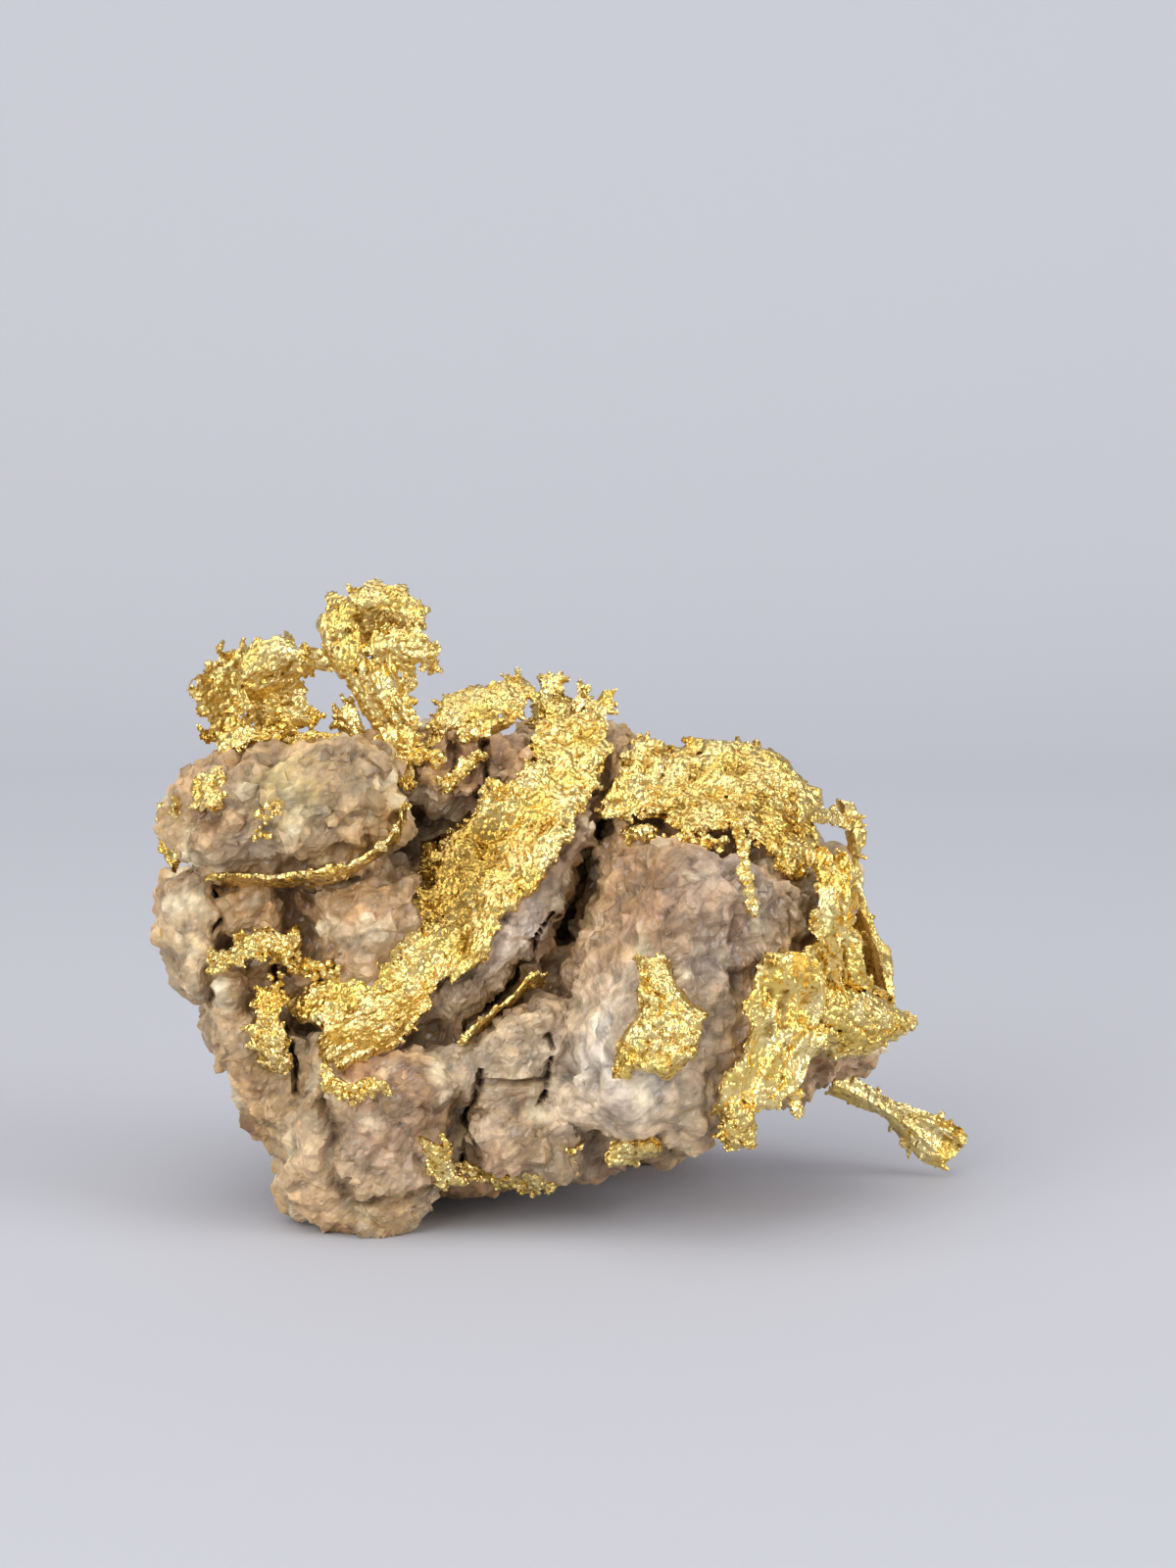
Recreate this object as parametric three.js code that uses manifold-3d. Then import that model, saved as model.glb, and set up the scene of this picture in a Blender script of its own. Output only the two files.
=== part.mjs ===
// A leaf gold specimen: a small lump of sugary quartz, broken into blocks by open fissures, with crystallised
// gold in thin leaves along the fissures, over the crest and down one side.
//
// Units are millimetres. +Z is up, +X runs along the specimen's length, and the display side faces -Y.
// The origin is under the middle of the specimen, on the surface that it stands on.

import * as THREE from "three";
import { SimplexNoise } from "three/addons/math/SimplexNoise.js";
import { mergeVertices } from "three/addons/utils/BufferGeometryUtils.js";
import Module from "manifold-3d";

const wasm = await Module();
wasm.setup();

// Driving dimensions

const LENGTH = 20.6; // overall, along X
const BLOCK_SQUARENESS = 4.5; // exponent of the superellipsoid: 2 is an egg, 6 is nearly a box
const BLOCK_FACET = 1.1; // side of a facet
const BLOCK_TRIM = 0.09; // slivers along the seams between blocks are smoothed away up to this size
const FRACTURE_PLANES = 9; // flat broken faces on each block
const FRACTURE_DEPTH = [0.82, 1.05]; // how far out a broken face lies, as a share of the block's size
const LUMPS = [
  { across: 2.6, height: 0.22 },
  { across: 1.1, height: 0.1 },
]; // the swells on the quartz, and the knobs on the swells

// Quartz blocks: middle, half sizes, and turn in degrees about X (pitch), Y (roll, clockwise seen from the
// display side) and Z (yaw, anticlockwise seen from above). A cut is one more broken face, given by the way
// that it faces and its reach.

const BLOCKS = {
  core: { at: [-1.0, 2.2, 6.0], half: [6.6, 2.9, 4.4], turn: [0, 10, 0] },
  rear: { at: [-0.6, 3.9, 6.2], half: [5.2, 1.9, 4.4], turn: [8, 8, -6] },
  rear_foot: { at: [1.6, 3.9, 1.5], half: [1.9, 1.8, 1.9], turn: [0, -8, 12] },
  rear_left: { at: [-5.6, 3.0, 6.6], half: [3.0, 2.2, 3.6], turn: [4, -14, 14] },
  rear_left_foot: { at: [-4.4, 3.8, 1.7], half: [1.8, 1.7, 2.1], turn: [0, 8, -10] },
  shoulder: {
    at: [-7.0, -0.5, 9.85],
    half: [2.9, 2.6, 1.65],
    turn: [5, -4, -6],
    cuts: [[-0.6, 0, 0.8, 0.98]],
  },
  left_pillar: { at: [-9.2, -0.3, 7.0], half: [0.85, 1.9, 1.65], turn: [0, -15, 0] },
  left_inner: { at: [-7.6, 0.3, 7.2], half: [1.5, 1.9, 1.1], turn: [0, 0, 8] },
  middle_left: { at: [-4.75, -0.7, 7.1], half: [1.5, 2.0, 1.7], turn: [0, 14, -10] },
  hip: { at: [-7.7, -0.4, 4.75], half: [1.25, 2.3, 1.75], turn: [0, -20, 6] },
  hip_low: { at: [-6.8, -1.0, 3.2], half: [1.2, 2.2, 1.5], turn: [0, -28, 0] },
  foot: { at: [-5.1, -2.3, 1.75], half: [1.85, 2.3, 1.95], turn: [0, 10, 10] },
  front_low: { at: [-4.2, -2.4, 3.3], half: [2.1, 2.4, 1.55], turn: [0, 4, -8] },
  under_trough: { at: [-3.6, -0.2, 5.0], half: [3.2, 2.2, 2.2], turn: [0, 30, 0] },
  trough_rim: { at: [-1.4, 0.0, 7.1], half: [1.3, 2.2, 3.7], turn: [-10, 37, 10] },
  top_ledge: { at: [-2.5, 0.8, 10.6], half: [1.8, 1.9, 1.1], turn: [0, -14, 0] },
  crown: { at: [0.4, 3.0, 9.7], half: [1.8, 2.2, 2.1], turn: [0, 14, 0] },
  crown_knob: { at: [1.2, 1.0, 10.8], half: [0.45, 1.2, 1.1], turn: [0, 12, 0] },
  crest: { at: [3.7, 1.4, 8.7], half: [2.5, 2.6, 1.6], turn: [0, 22, 0] },
  right_block: { at: [2.45, -2.0, 5.3], half: [2.25, 3.4, 4.3], turn: [-4, 22, 18] },
  right_lump: { at: [5.4, -0.7, 7.2], half: [1.2, 2.3, 1.7], turn: [0, 6, 0] },
  right_core: { at: [4.7, 1.8, 5.8], half: [2.2, 2.9, 3.2], turn: [0, 14, 0] },
  right_low: { at: [6.0, 1.3, 3.5], half: [1.8, 1.4, 1.1], turn: [0, -14, 0] },
  wedge: { at: [-1.2, -2.3, 4.2], half: [1.6, 1.9, 1.15], turn: [0, -30, 0] },
  wedge_low: { at: [-1.0, -2.3, 2.4], half: [1.5, 2.1, 1.15], turn: [0, -6, 0] },
  keel: { at: [-1.4, 0.4, 2.4], half: [4.2, 3.2, 1.8], turn: [0, -8, 0] },
  rear_keel: { at: [-1.2, 3.1, 2.6], half: [4.6, 2.2, 2.4], turn: [6, -2, 0] },
  front_keel: { at: [-2.2, -0.9, 2.1], half: [2.4, 2.1, 1.1], turn: [0, -6, 0] },
};

// Open fissures: thin wedges of air between the blocks, given as the blocks are.

const FISSURES = {
  main_upper: { at: [0.6, -1.2, 8.4], half: [0.6, 3.2, 2.0], turn: [-6, 20, 0] },
  main_lower: { at: [-1.4, -2.6, 5.6], half: [0.24, 2.4, 1.6], turn: [-6, 47, 0] },
  shoulder: { at: [-7.1, -2.9, 8.15], half: [2.9, 1.7, 0.16], turn: [0, -4, 0] },
  left: { at: [-6.55, -2.9, 5.2], half: [0.14, 2.0, 1.7], turn: [0, -6, 0] },
  wedge: { at: [-1.3, -3.9, 3.3], half: [1.5, 1.6, 0.14], turn: [0, -14, 0] },
  low: { at: [-2.35, -4.2, 2.4], half: [0.16, 1.8, 1.0], turn: [0, 8, 0] },
};

// Gold leaves: the points of the two long edges, the middle's bulge off the line between them (towards the
// display side, or away from it where negative), and the thickness.

const LEAF_FACET = 0.75; // side of a facet
const LEAF_TRIM = 0.03; // slivers left where a leaf meets the quartz are smoothed away up to this size
const LEAF_EDGE = 0.45; // thickness at the rim, as a share of the thickness in the middle
const RAG = 0.16; // how far the teeth of a rim stand in and out
const CRINKLE = { across: 1.3, height: 0.14 };
const GAP = 0.15; // between a leaf and what it lies on

const LEAVES = {
  gold_leaf_centre: {
    left: [
      [-0.6, 0.9, 12.1], [-1.2, 0.2, 10.3], [-2.5, -1.0, 9.5],
      [-3.5, -1.9, 7.9], [-4.8, -2.4, 6.0], [-6.6, -2.0, 4.8],
    ],
    right: [
      [0.8, 0.6, 12.6], [0.9, -0.4, 10.9], [0.2, -1.8, 9.3],
      [-1.0, -2.6, 7.7], [-2.9, -3.0, 5.3], [-5.4, -4.8, 4.2],
    ],
    bulge: -0.1,
    thick: 0.5,
  },
  gold_leaf_left_fan: {
    left: [[-8.8, 0.2, 11.0], [-7.7, 0.0, 10.9], [-6.4, 0.0, 11.2], [-5.9, 0.2, 11.5]],
    right: [[-9.1, -0.3, 12.9], [-7.9, -0.6, 14.0], [-6.9, -0.6, 14.3], [-5.6, 0.0, 13.5]],
    bulge: 0.5,
    thick: 0.5,
  },
  gold_leaf_top_fan: {
    left: [[-4.4, 0.2, 10.5], [-5.2, 0.2, 12.3], [-5.7, 0.1, 13.6], [-5.6, 0.0, 14.9], [-4.8, -0.2, 15.4]],
    right: [[-3.8, 0, 10.5], [-4.0, -0.3, 12.4], [-3.8, -0.6, 13.2], [-3.1, -0.9, 14], [-3.3, -0.6, 14.9]],
    bulge: 0.4,
    thick: 0.5,
  },
  gold_leaf_notch: {
    left: [[-3.6, 0.2, 10.7], [-2.6, 0.3, 11.0], [-0.9, 0.8, 11.5]],
    right: [[-3.3, 0.4, 12.2], [-2.3, 0.7, 13.0], [-1.0, 1.2, 13.2]],
    bulge: 0.2,
    thick: 0.4,
  },
  gold_leaf_peak: {
    left: [[-0.8, 1.6, 11.1], [0.3, 1.7, 11.3], [1.3, 1.7, 11.4]],
    right: [[-0.9, 1.8, 12.6], [0.2, 1.9, 12.9], [1.2, 1.9, 12.6]],
    bulge: 0.1,
    thick: 0.4,
  },
  gold_leaf_crest: {
    left: [[1.8, 0.8, 11.6], [3.0, 0.6, 11.7], [4.4, 0.5, 11.4], [5.7, 0.5, 10.8], [6.4, 0.4, 9.6]],
    right: [[1.0, -0.6, 9.9], [2.5, -1.1, 10.3], [4.0, -1.3, 9.7], [5.3, -1.7, 8.9], [6.0, -1.7, 8.6]],
    bulge: 0.4,
    thick: 0.5,
  },
  gold_leaf_right_face: {
    left: [[5.9, -2.2, 8.7], [6.0, -3.0, 7.5], [5.8, -2.6, 6.0], [5.7, -1.6, 4.3]],
    right: [[6.9, -0.4, 8.8], [7.0, -0.6, 8.1], [7.5, -0.4, 5.8], [8.3, 0.2, 4.3]],
    bulge: 0.3,
    thick: 0.5,
  },
  gold_leaf_right_curl: {
    left: [[6.4, 1.4, 9.9], [7.0, 1.3, 9.0], [7.1, 1.2, 7.7], [7.6, 1.0, 6.1], [7.8, 1.0, 5.0]],
    right: [[7.1, 1.1, 9.9], [7.5, 1.0, 9.0], [7.5, 0.9, 7.7], [8.0, 0.7, 6.3], [8.2, 0.7, 5.0]],
    bulge: 0.1,
    thick: 0.4,
  },
  gold_leaf_front_fold: {
    left: [[4.7, -5.3, 7.1], [4.4, -5.4, 5.6], [4.1, -5.3, 4.4], [3.7, -5.4, 3.1]],
    right: [[5.8, -4.4, 6.9], [5.6, -3.7, 5.2], [5.3, -3.7, 4.2], [4.6, -4.2, 2.4]],
    bulge: 0.2,
    thick: 0.5,
  },
  gold_spur: {
    left: [
      [6.6, 1.7, 3.1], [7.5, 1.9, 2.6], [8.2, 2.0, 2.1],
      [8.9, 2.0, 1.9], [9.6, 2.0, 1.7], [10.2, 2.0, 1.1],
    ],
    right: [
      [6.6, 1.6, 2.4], [7.6, 1.8, 2.0], [8.1, 1.9, 1.6],
      [8.6, 1.9, 1.2], [9.2, 1.9, 0.6], [9.8, 1.9, 0.3],
    ],
    bulge: 0.1,
    thick: 0.5,
  },
  gold_patch_front: {
    left: [[1.9, -5.0, 6.6], [1.9, -5.1, 6.1], [1.7, -5.3, 5.6], [1.2, -5.3, 4.9], [1.5, -5.7, 4.2]],
    right: [[2.7, -5.2, 6.6], [2.9, -5.6, 6.1], [3.5, -5.7, 5.7], [3.3, -5.8, 4.9], [2.7, -6.0, 4.2]],
    bulge: 0.2,
    thick: 0.7,
  },
  gold_seam_shoulder: {
    left: [[-8.6, -2.2, 8.5], [-6.6, -3.2, 8.7], [-5.4, -3.3, 8.9], [-4.3, -2.9, 9.6], [-4.0, -2.1, 10.2]],
    right: [[-8.7, -1.0, 8.1], [-6.6, -1.6, 8.2], [-5.4, -1.8, 8.4], [-4.1, -1.4, 9.2], [-3.8, -0.8, 10.0]],
    bulge: 0,
    thick: 0.4,
  },
  gold_seam_fissure: {
    left: [[-2.5, -3.7, 4.8], [-1.7, -3.5, 5.4], [-0.7, -3.2, 6.3]],
    right: [[-2.3, -2.6, 4.3], [-1.5, -2.4, 5.0], [-0.5, -2.0, 5.9]],
    bulge: 0,
    thick: 0.4,
  },
  gold_clump_left_edge: {
    left: [[-10.0, -0.6, 10.1], [-9.9, -1.0, 9.3], [-9.5, -1.6, 8.6]],
    right: [[-9.4, -1.6, 10.5], [-9.2, -2.0, 9.6], [-9.1, -1.9, 8.8]],
    bulge: 0.1,
    thick: 0.6,
  },
  gold_clump_shoulder: {
    left: [[-9.1, -1.6, 10.7], [-8.8, -2.6, 10.2]],
    right: [[-8.3, -1.9, 11.1], [-8.0, -2.9, 10.5]],
    bulge: 0.1,
    thick: 0.6,
  },
  gold_clump_left_low: {
    left: [[-8.6, -2.3, 6.7], [-8.0, -2.3, 6.9], [-7.4, -2.2, 7.2], [-6.6, -2.2, 7.2]],
    right: [[-8.4, -2.4, 6.2], [-7.9, -2.6, 6.4], [-7.3, -2.6, 6.5], [-6.7, -1.8, 6.2]],
    bulge: 0.1,
    thick: 0.6,
  },
  gold_clump_hip: {
    left: [[-7.5, -2.6, 5.8], [-7.7, -2.8, 5.1], [-7.9, -2.8, 4.7], [-7.4, -2.8, 4.1], [-7.0, -2.7, 3.7]],
    right: [[-7.0, -2.5, 5.7], [-7.0, -2.8, 5.1], [-6.8, -2.9, 4.6], [-6.7, -2.9, 4.2], [-6.6, -2.8, 3.8]],
    bulge: 0.1,
    thick: 0.6,
  },
  gold_clump_keel_left: {
    left: [[-3.3, -4.9, 2.4], [-3.2, -4.6, 1.8], [-3.1, -4.4, 1.3]],
    right: [[-2.8, -4.7, 2.3], [-2.7, -4.4, 1.8], [-2.5, -4.2, 1.4]],
    bulge: 0.1,
    thick: 0.6,
  },
  gold_clump_keel_middle: {
    left: [[-2.0, -3.2, 1.6], [-1.1, -3.5, 1.7], [-0.4, -3.8, 1.9], [0.1, -4.0, 1.9]],
    right: [[-1.9, -3.0, 1.2], [-1.1, -3.1, 1.0], [-0.4, -3.4, 1.1], [0.0, -3.6, 1.4]],
    bulge: 0.1,
    thick: 0.6,
  },
  gold_clump_keel_right: {
    left: [[1.0, -5.2, 1.8], [1.6, -5.3, 2.1], [2.3, -5.3, 2.4]],
    right: [[1.2, -4.8, 1.3], [1.7, -4.7, 1.3], [2.3, -4.7, 1.6]],
    bulge: 0.1,
    thick: 0.6,
  },
  gold_clump_foot: {
    left: [[-5.8, -4.7, 4.2], [-5.2, -4.8, 4.0], [-4.9, -4.9, 4.0], [-4.4, -5.0, 4.2]],
    right: [[-5.6, -4.8, 3.8], [-5.2, -4.9, 3.5], [-4.9, -5.0, 3.5], [-4.4, -5.1, 3.8]],
    bulge: 0.1,
    thick: 0.6,
  },
};

const quartz = new THREE.MeshStandardMaterial({ color: 0xb5a096, roughness: 0.55, metalness: 0 });
const gold = new THREE.MeshStandardMaterial({ color: 0xd9ab3c, roughness: 0.3, metalness: 1 });

// Shared helpers: repeatable randomness, and the way to and from solids

// The same sequence of numbers from 0 to 1 for the same seed.
function dice(seed) {
  let state = seed >>> 0;
  return () => {
    state = (state + 0x6d2b79f5) >>> 0;
    let t = Math.imul(state ^ (state >>> 15), 1 | state);
    t = (t + Math.imul(t ^ (t >>> 7), 61 | t)) ^ t;
    return ((t ^ (t >>> 14)) >>> 0) / 4294967296;
  };
}

function solidFrom(geometry) {
  const bare = geometry.clone();
  bare.deleteAttribute("normal");
  bare.deleteAttribute("uv");
  const merged = mergeVertices(bare);
  return new wasm.Manifold(
    new wasm.Mesh({
      numProp: 3,
      vertProperties: new Float32Array(merged.attributes.position.array),
      triVerts: new Uint32Array(merged.index.array),
    }),
  );
}

function geometryFrom(solid) {
  const mesh = solid.getMesh();
  const geometry = new THREE.BufferGeometry();
  geometry.setAttribute("position", new THREE.BufferAttribute(mesh.vertProperties, 3));
  geometry.setIndex(new THREE.BufferAttribute(mesh.triVerts, 1));
  geometry.computeVertexNormals();
  return geometry;
}

// The largest body of a solid, with any hollow sealed inside it filled.
function bodyOf(solid) {
  return solid.decompose().reduce((best, body) => (body.volume() > best.volume() ? body : best));
}

// Quartz matrix

// The place of a block: turned about its own middle, then set at that middle.
function placeOf({ at, turn }) {
  const [pitch, roll, yaw] = turn.map(THREE.MathUtils.degToRad);
  const place = new THREE.Matrix4().makeRotationFromEuler(new THREE.Euler(pitch, roll, yaw, "ZYX"));
  return place.setPosition(...at);
}

// A direction picked evenly from the sphere.
function anyDirection(random) {
  const z = 2 * random() - 1;
  const turn = 2 * Math.PI * random();
  return new THREE.Vector3(Math.cos(turn), Math.sin(turn), 0).multiplyScalar(Math.sqrt(1 - z * z)).setZ(z);
}

// A block is a superellipsoid cut back to a few flat broken faces, with swells and knobs on them.
function blockGeometry(block, seed, grow) {
  const random = dice(seed);
  const noise = new SimplexNoise({ random });
  const [near, far] = FRACTURE_DEPTH;
  const planes = Array.from({ length: FRACTURE_PLANES }, () => ({
    normal: anyDirection(random),
    reach: near + (far - near) * random(),
  }));
  for (const [x, y, z, reach] of block.cuts ?? [])
    planes.push({ normal: new THREE.Vector3(x, y, z).normalize(), reach });
  const size = new THREE.Vector3(...block.half);
  const facets = Math.round(THREE.MathUtils.clamp(size.length() / BLOCK_FACET, 3, 5)) - 1;
  const geometry = new THREE.IcosahedronGeometry(1, facets);
  const points = geometry.attributes.position;
  const way = new THREE.Vector3();
  for (let i = 0; i < points.count; i++) {
    way.fromBufferAttribute(points, i).normalize();
    const sum = way.toArray().reduce((total, part) => total + Math.abs(part) ** BLOCK_SQUARENESS, 0);
    let reach = sum ** (-1 / BLOCK_SQUARENESS);
    for (const plane of planes) {
      const facing = way.dot(plane.normal);
      if (facing > 0) reach = Math.min(reach, plane.reach / facing);
    }
    way.multiplyScalar(reach).multiply(size);
    let rise = grow;
    for (const { across, height } of LUMPS)
      rise += height * noise.noise3d(way.x / across, way.y / across, way.z / across);
    way.setLength(way.length() + rise);
    points.setXYZ(i, ...way);
  }
  return geometry.applyMatrix4(placeOf(block));
}

// A fissure narrows from its mouth on the display side to nothing at its back.
function fissureGeometry(fissure) {
  const [a, b, c] = fissure.half;
  const geometry = new THREE.BoxGeometry(2 * a, 2 * b, 2 * c, 3, 2, 3);
  const points = geometry.attributes.position;
  const thin = a < c ? "X" : "Z";
  for (let i = 0; i < points.count; i++) {
    const share = 0.6 - (0.4 * points.getY(i)) / b;
    points["set" + thin](i, points["get" + thin](i) * share);
  }
  return geometry.applyMatrix4(placeOf(fissure));
}

// Everything under the surface that the specimen stands on.
function belowGeometry() {
  return new THREE.BoxGeometry(3 * LENGTH, 3 * LENGTH, LENGTH).translate(0, 0, -LENGTH / 2);
}

// The blocks joined in one lump, split by the fissures and worn flat where it stands. Grown, it is the
// room that the lump and a skin of clearance take up.
function matrixSolid(grow = 0) {
  const blocks = Object.values(BLOCKS).map((block, i) => solidFrom(blockGeometry(block, 100 + i, grow)));
  const lump = blocks.reduce((whole, block) => whole.add(block));
  if (grow) return lump;
  const gaps = [...Object.values(FISSURES).map(fissureGeometry), belowGeometry()];
  return bodyOf(gaps.reduce((whole, gap) => whole.subtract(solidFrom(gap)), lump).simplify(BLOCK_TRIM));
}

// Gold leaves

// A leaf is the sheet ruled between its two edges, bulged in the middle, crinkled, toothed along the rim and
// given a thickness that thins towards the rim. Grown, it is the room that the leaf and its clearance take.
function leafGeometry(leaf, seed, grow = 0) {
  const random = dice(seed);
  const noise = new SimplexNoise({ random });
  const [left, right] = [leaf.left, leaf.right].map(
    (edge) => new THREE.CatmullRomCurve3(edge.map((point) => new THREE.Vector3(...point))),
  );
  const width = left.getPoint(0.5).distanceTo(right.getPoint(0.5));
  const rows = Math.max(3, Math.round(left.getLength() / LEAF_FACET));
  const columns = Math.max(2, Math.round(width / LEAF_FACET));
  const ruled = (u, v) => left.getPoint(u).lerp(right.getPoint(u), v);
  const axesAt = (u, v) => {
    const along = ruled(Math.min(u + 0.02, 1), v).sub(ruled(Math.max(u - 0.02, 0), v)).normalize();
    const across = right.getPoint(u).sub(left.getPoint(u)).normalize();
    return { along, across, normal: along.clone().cross(across).normalize() };
  };
  const bulge = leaf.bulge * (axesAt(0.5, 0.5).normal.y > 0 ? -1 : 1);
  const points = [[], []];
  for (let i = 0; i <= rows; i++)
    for (let j = 0; j <= columns; j++) {
      const [u, v] = [i / rows, j / columns];
      const { along, across, normal } = axesAt(u, v);
      const point = ruled(u, v);
      const { across: pitch, height } = CRINKLE;
      const crinkle = height * noise.noise3d(point.x / pitch, point.y / pitch, point.z / pitch);
      const [sideways, endways] = [random(), random()].map((throwOf) => RAG * (2 * throwOf - 1) + grow);
      if (j === 0) point.addScaledVector(across, -sideways);
      if (j === columns) point.addScaledVector(across, sideways);
      if (i === 0) point.addScaledVector(along, -endways);
      if (i === rows) point.addScaledVector(along, endways);
      point.addScaledVector(normal, 4 * bulge * v * (1 - v) + crinkle);
      const rim = i === 0 || i === rows || j === 0 || j === columns;
      const half = (leaf.thick * (rim ? LEAF_EDGE : 1)) / 2 + grow;
      points[0].push(point.clone().addScaledVector(normal, half));
      points[1].push(point.addScaledVector(normal, -half));
    }
  return skinned(points, rows, columns);
}

// Triangles over two matching grids of points, front and back, and round the rim between them.
function skinned([front, back], rows, columns) {
  const faces = [];
  const quad = (a, b, c, d) => faces.push(a, b, c, a, c, d);
  const far = front.length;
  const at = (i, j) => i * (columns + 1) + j;
  for (let i = 0; i < rows; i++)
    for (let j = 0; j < columns; j++) {
      const corners = [at(i, j), at(i + 1, j), at(i + 1, j + 1), at(i, j + 1)];
      quad(...corners);
      quad(...corners.map((corner) => corner + far).reverse());
    }
  const rim = [];
  for (let j = 0; j < columns; j++) rim.push(at(0, j));
  for (let i = 0; i < rows; i++) rim.push(at(i, columns));
  for (let j = columns; j > 0; j--) rim.push(at(rows, j));
  for (let i = rows; i > 0; i--) rim.push(at(i, 0));
  rim.forEach((from, k) => {
    const to = rim[(k + 1) % rim.length];
    quad(from, to, to + far, from + far);
  });
  const geometry = new THREE.BufferGeometry().setFromPoints([...front, ...back]);
  geometry.setIndex(faces);
  return geometry;
}

// The specimen

const specimen = new THREE.Group();

function addPiece(name, solid, material) {
  const piece = new THREE.Mesh(geometryFrom(solid), material);
  piece.name = name;
  specimen.add(piece);
}

addPiece("quartz_matrix", matrixSolid(), quartz);

let taken = matrixSolid(GAP).add(solidFrom(belowGeometry()));
Object.entries(LEAVES).forEach(([name, leaf], i) => {
  const solid = solidFrom(leafGeometry(leaf, 300 + i));
  addPiece(name, bodyOf(solid.subtract(taken).simplify(LEAF_TRIM)), gold);
  taken = taken.add(solidFrom(leafGeometry(leaf, 300 + i, GAP)));
});

export default specimen;
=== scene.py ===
import bmesh
import bpy
import numpy as np
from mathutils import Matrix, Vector


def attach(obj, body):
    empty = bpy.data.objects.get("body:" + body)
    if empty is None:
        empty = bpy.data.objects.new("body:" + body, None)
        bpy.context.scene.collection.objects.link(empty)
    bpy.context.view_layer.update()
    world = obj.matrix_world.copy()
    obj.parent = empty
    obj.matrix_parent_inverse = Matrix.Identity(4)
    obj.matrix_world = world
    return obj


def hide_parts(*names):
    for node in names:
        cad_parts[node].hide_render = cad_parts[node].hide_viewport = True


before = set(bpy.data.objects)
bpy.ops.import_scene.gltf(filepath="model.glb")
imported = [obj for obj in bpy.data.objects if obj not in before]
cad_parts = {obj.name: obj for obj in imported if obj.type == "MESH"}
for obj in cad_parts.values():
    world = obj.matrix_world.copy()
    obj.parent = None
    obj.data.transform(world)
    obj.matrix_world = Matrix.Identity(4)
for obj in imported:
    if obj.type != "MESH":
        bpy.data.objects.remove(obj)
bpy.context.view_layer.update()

# The stage: a sheet of pale card swept up behind the specimen, large soft lamps overhead, at the front left
# and at the right, and a long lens a little above the specimen, tipped down at it.

MM = 0.001


def linear(code):
    """The linear colour of an sRGB hex code."""
    share = np.array([int(code[i : i + 2], 16) for i in (1, 3, 5)]) / 255
    return (*np.where(share <= 0.04045, share / 12.92, ((share + 0.055) / 1.055) ** 2.4), 1.0)


def add(tree, kind, inputs=None, **settings):
    """A new shader node with its settings, each input set to a value or linked to a socket. A node stands for
    its first socket."""
    node = tree.nodes.new("ShaderNode" + kind)
    for key, value in settings.items():
        setattr(node, key, value)
    for key, value in (inputs or {}).items():
        if isinstance(value, bpy.types.Node):
            value = value.outputs[0]
        if isinstance(value, bpy.types.NodeSocket):
            tree.links.new(value, node.inputs[key])
        else:
            node.inputs[key].default_value = value
    return node


def finish_named(name):
    """A new material and its empty node tree."""
    finish = bpy.data.materials.new(name)
    finish.use_nodes = True
    finish.node_tree.nodes.clear()
    return finish, finish.node_tree


def mesh_piece(name, points, faces, finish, smooth):
    """A mesh object from an array of points in millimetres and an array of triangles or quads."""
    mesh = bpy.data.meshes.new(name)
    count, sides = faces.shape
    mesh.vertices.add(len(points))
    mesh.vertices.foreach_set("co", (points * MM).astype(np.float32).ravel())
    mesh.loops.add(count * sides)
    mesh.loops.foreach_set("vertex_index", faces.astype(np.int32).ravel())
    mesh.polygons.add(count)
    mesh.polygons.foreach_set("loop_start", np.arange(0, count * sides, sides, dtype=np.int32))
    mesh.polygons.foreach_set("use_smooth", np.full(count, smooth))
    mesh.update(calc_edges=True)
    mesh.validate()
    mesh.materials.append(finish)
    piece = bpy.data.objects.new(name, mesh)
    bpy.context.scene.collection.objects.link(piece)
    return piece


# Matt card, dyed in the pulp: no gloss, and the faintest tooth.
card, tree = finish_named("pale_matt_card")
where = add(tree, "TexCoord").outputs["Object"]
tooth = add(tree, "TexNoise", {"Vector": where, "Scale": 1 / (0.4 * MM), "Detail": 2.0})
bump = add(tree, "Bump", {"Height": tooth, "Strength": 0.02, "Distance": 0.02 * MM})
look = {"Base Color": linear("#BEC0C9"), "Roughness": 0.75, "Normal": bump}
add(tree, "OutputMaterial", {"Surface": add(tree, "BsdfPrincipled", look)})

CARD_FRONT = -400.0  # where the card starts, mm
CARD_BEND_AT = 70.0  # where it begins to rise
CARD_BEND = 60.0  # radius of the rise
CARD_TOP = 420.0
CARD_HALF = 450.0  # from the middle to either side

# The card's profile from front to back: level, then up a quarter circle, then upright.
turn = np.linspace(0, np.pi / 2, 25)
rise = np.stack([CARD_BEND_AT + CARD_BEND * np.sin(turn), CARD_BEND - CARD_BEND * np.cos(turn)], axis=1)
profile = np.concatenate([[[CARD_FRONT, 0.0]], rise, [[CARD_BEND_AT + CARD_BEND, CARD_TOP]]])
sides = np.repeat([-CARD_HALF, CARD_HALF], len(profile))
card_points = np.column_stack([sides, np.tile(profile, (2, 1))])
near = np.arange(len(profile) - 1)
card_faces = np.stack([near, near + len(profile), near + len(profile) + 1, near + 1], axis=1)
floor = mesh_piece("stage_card", card_points, card_faces, card, smooth=True)

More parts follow.
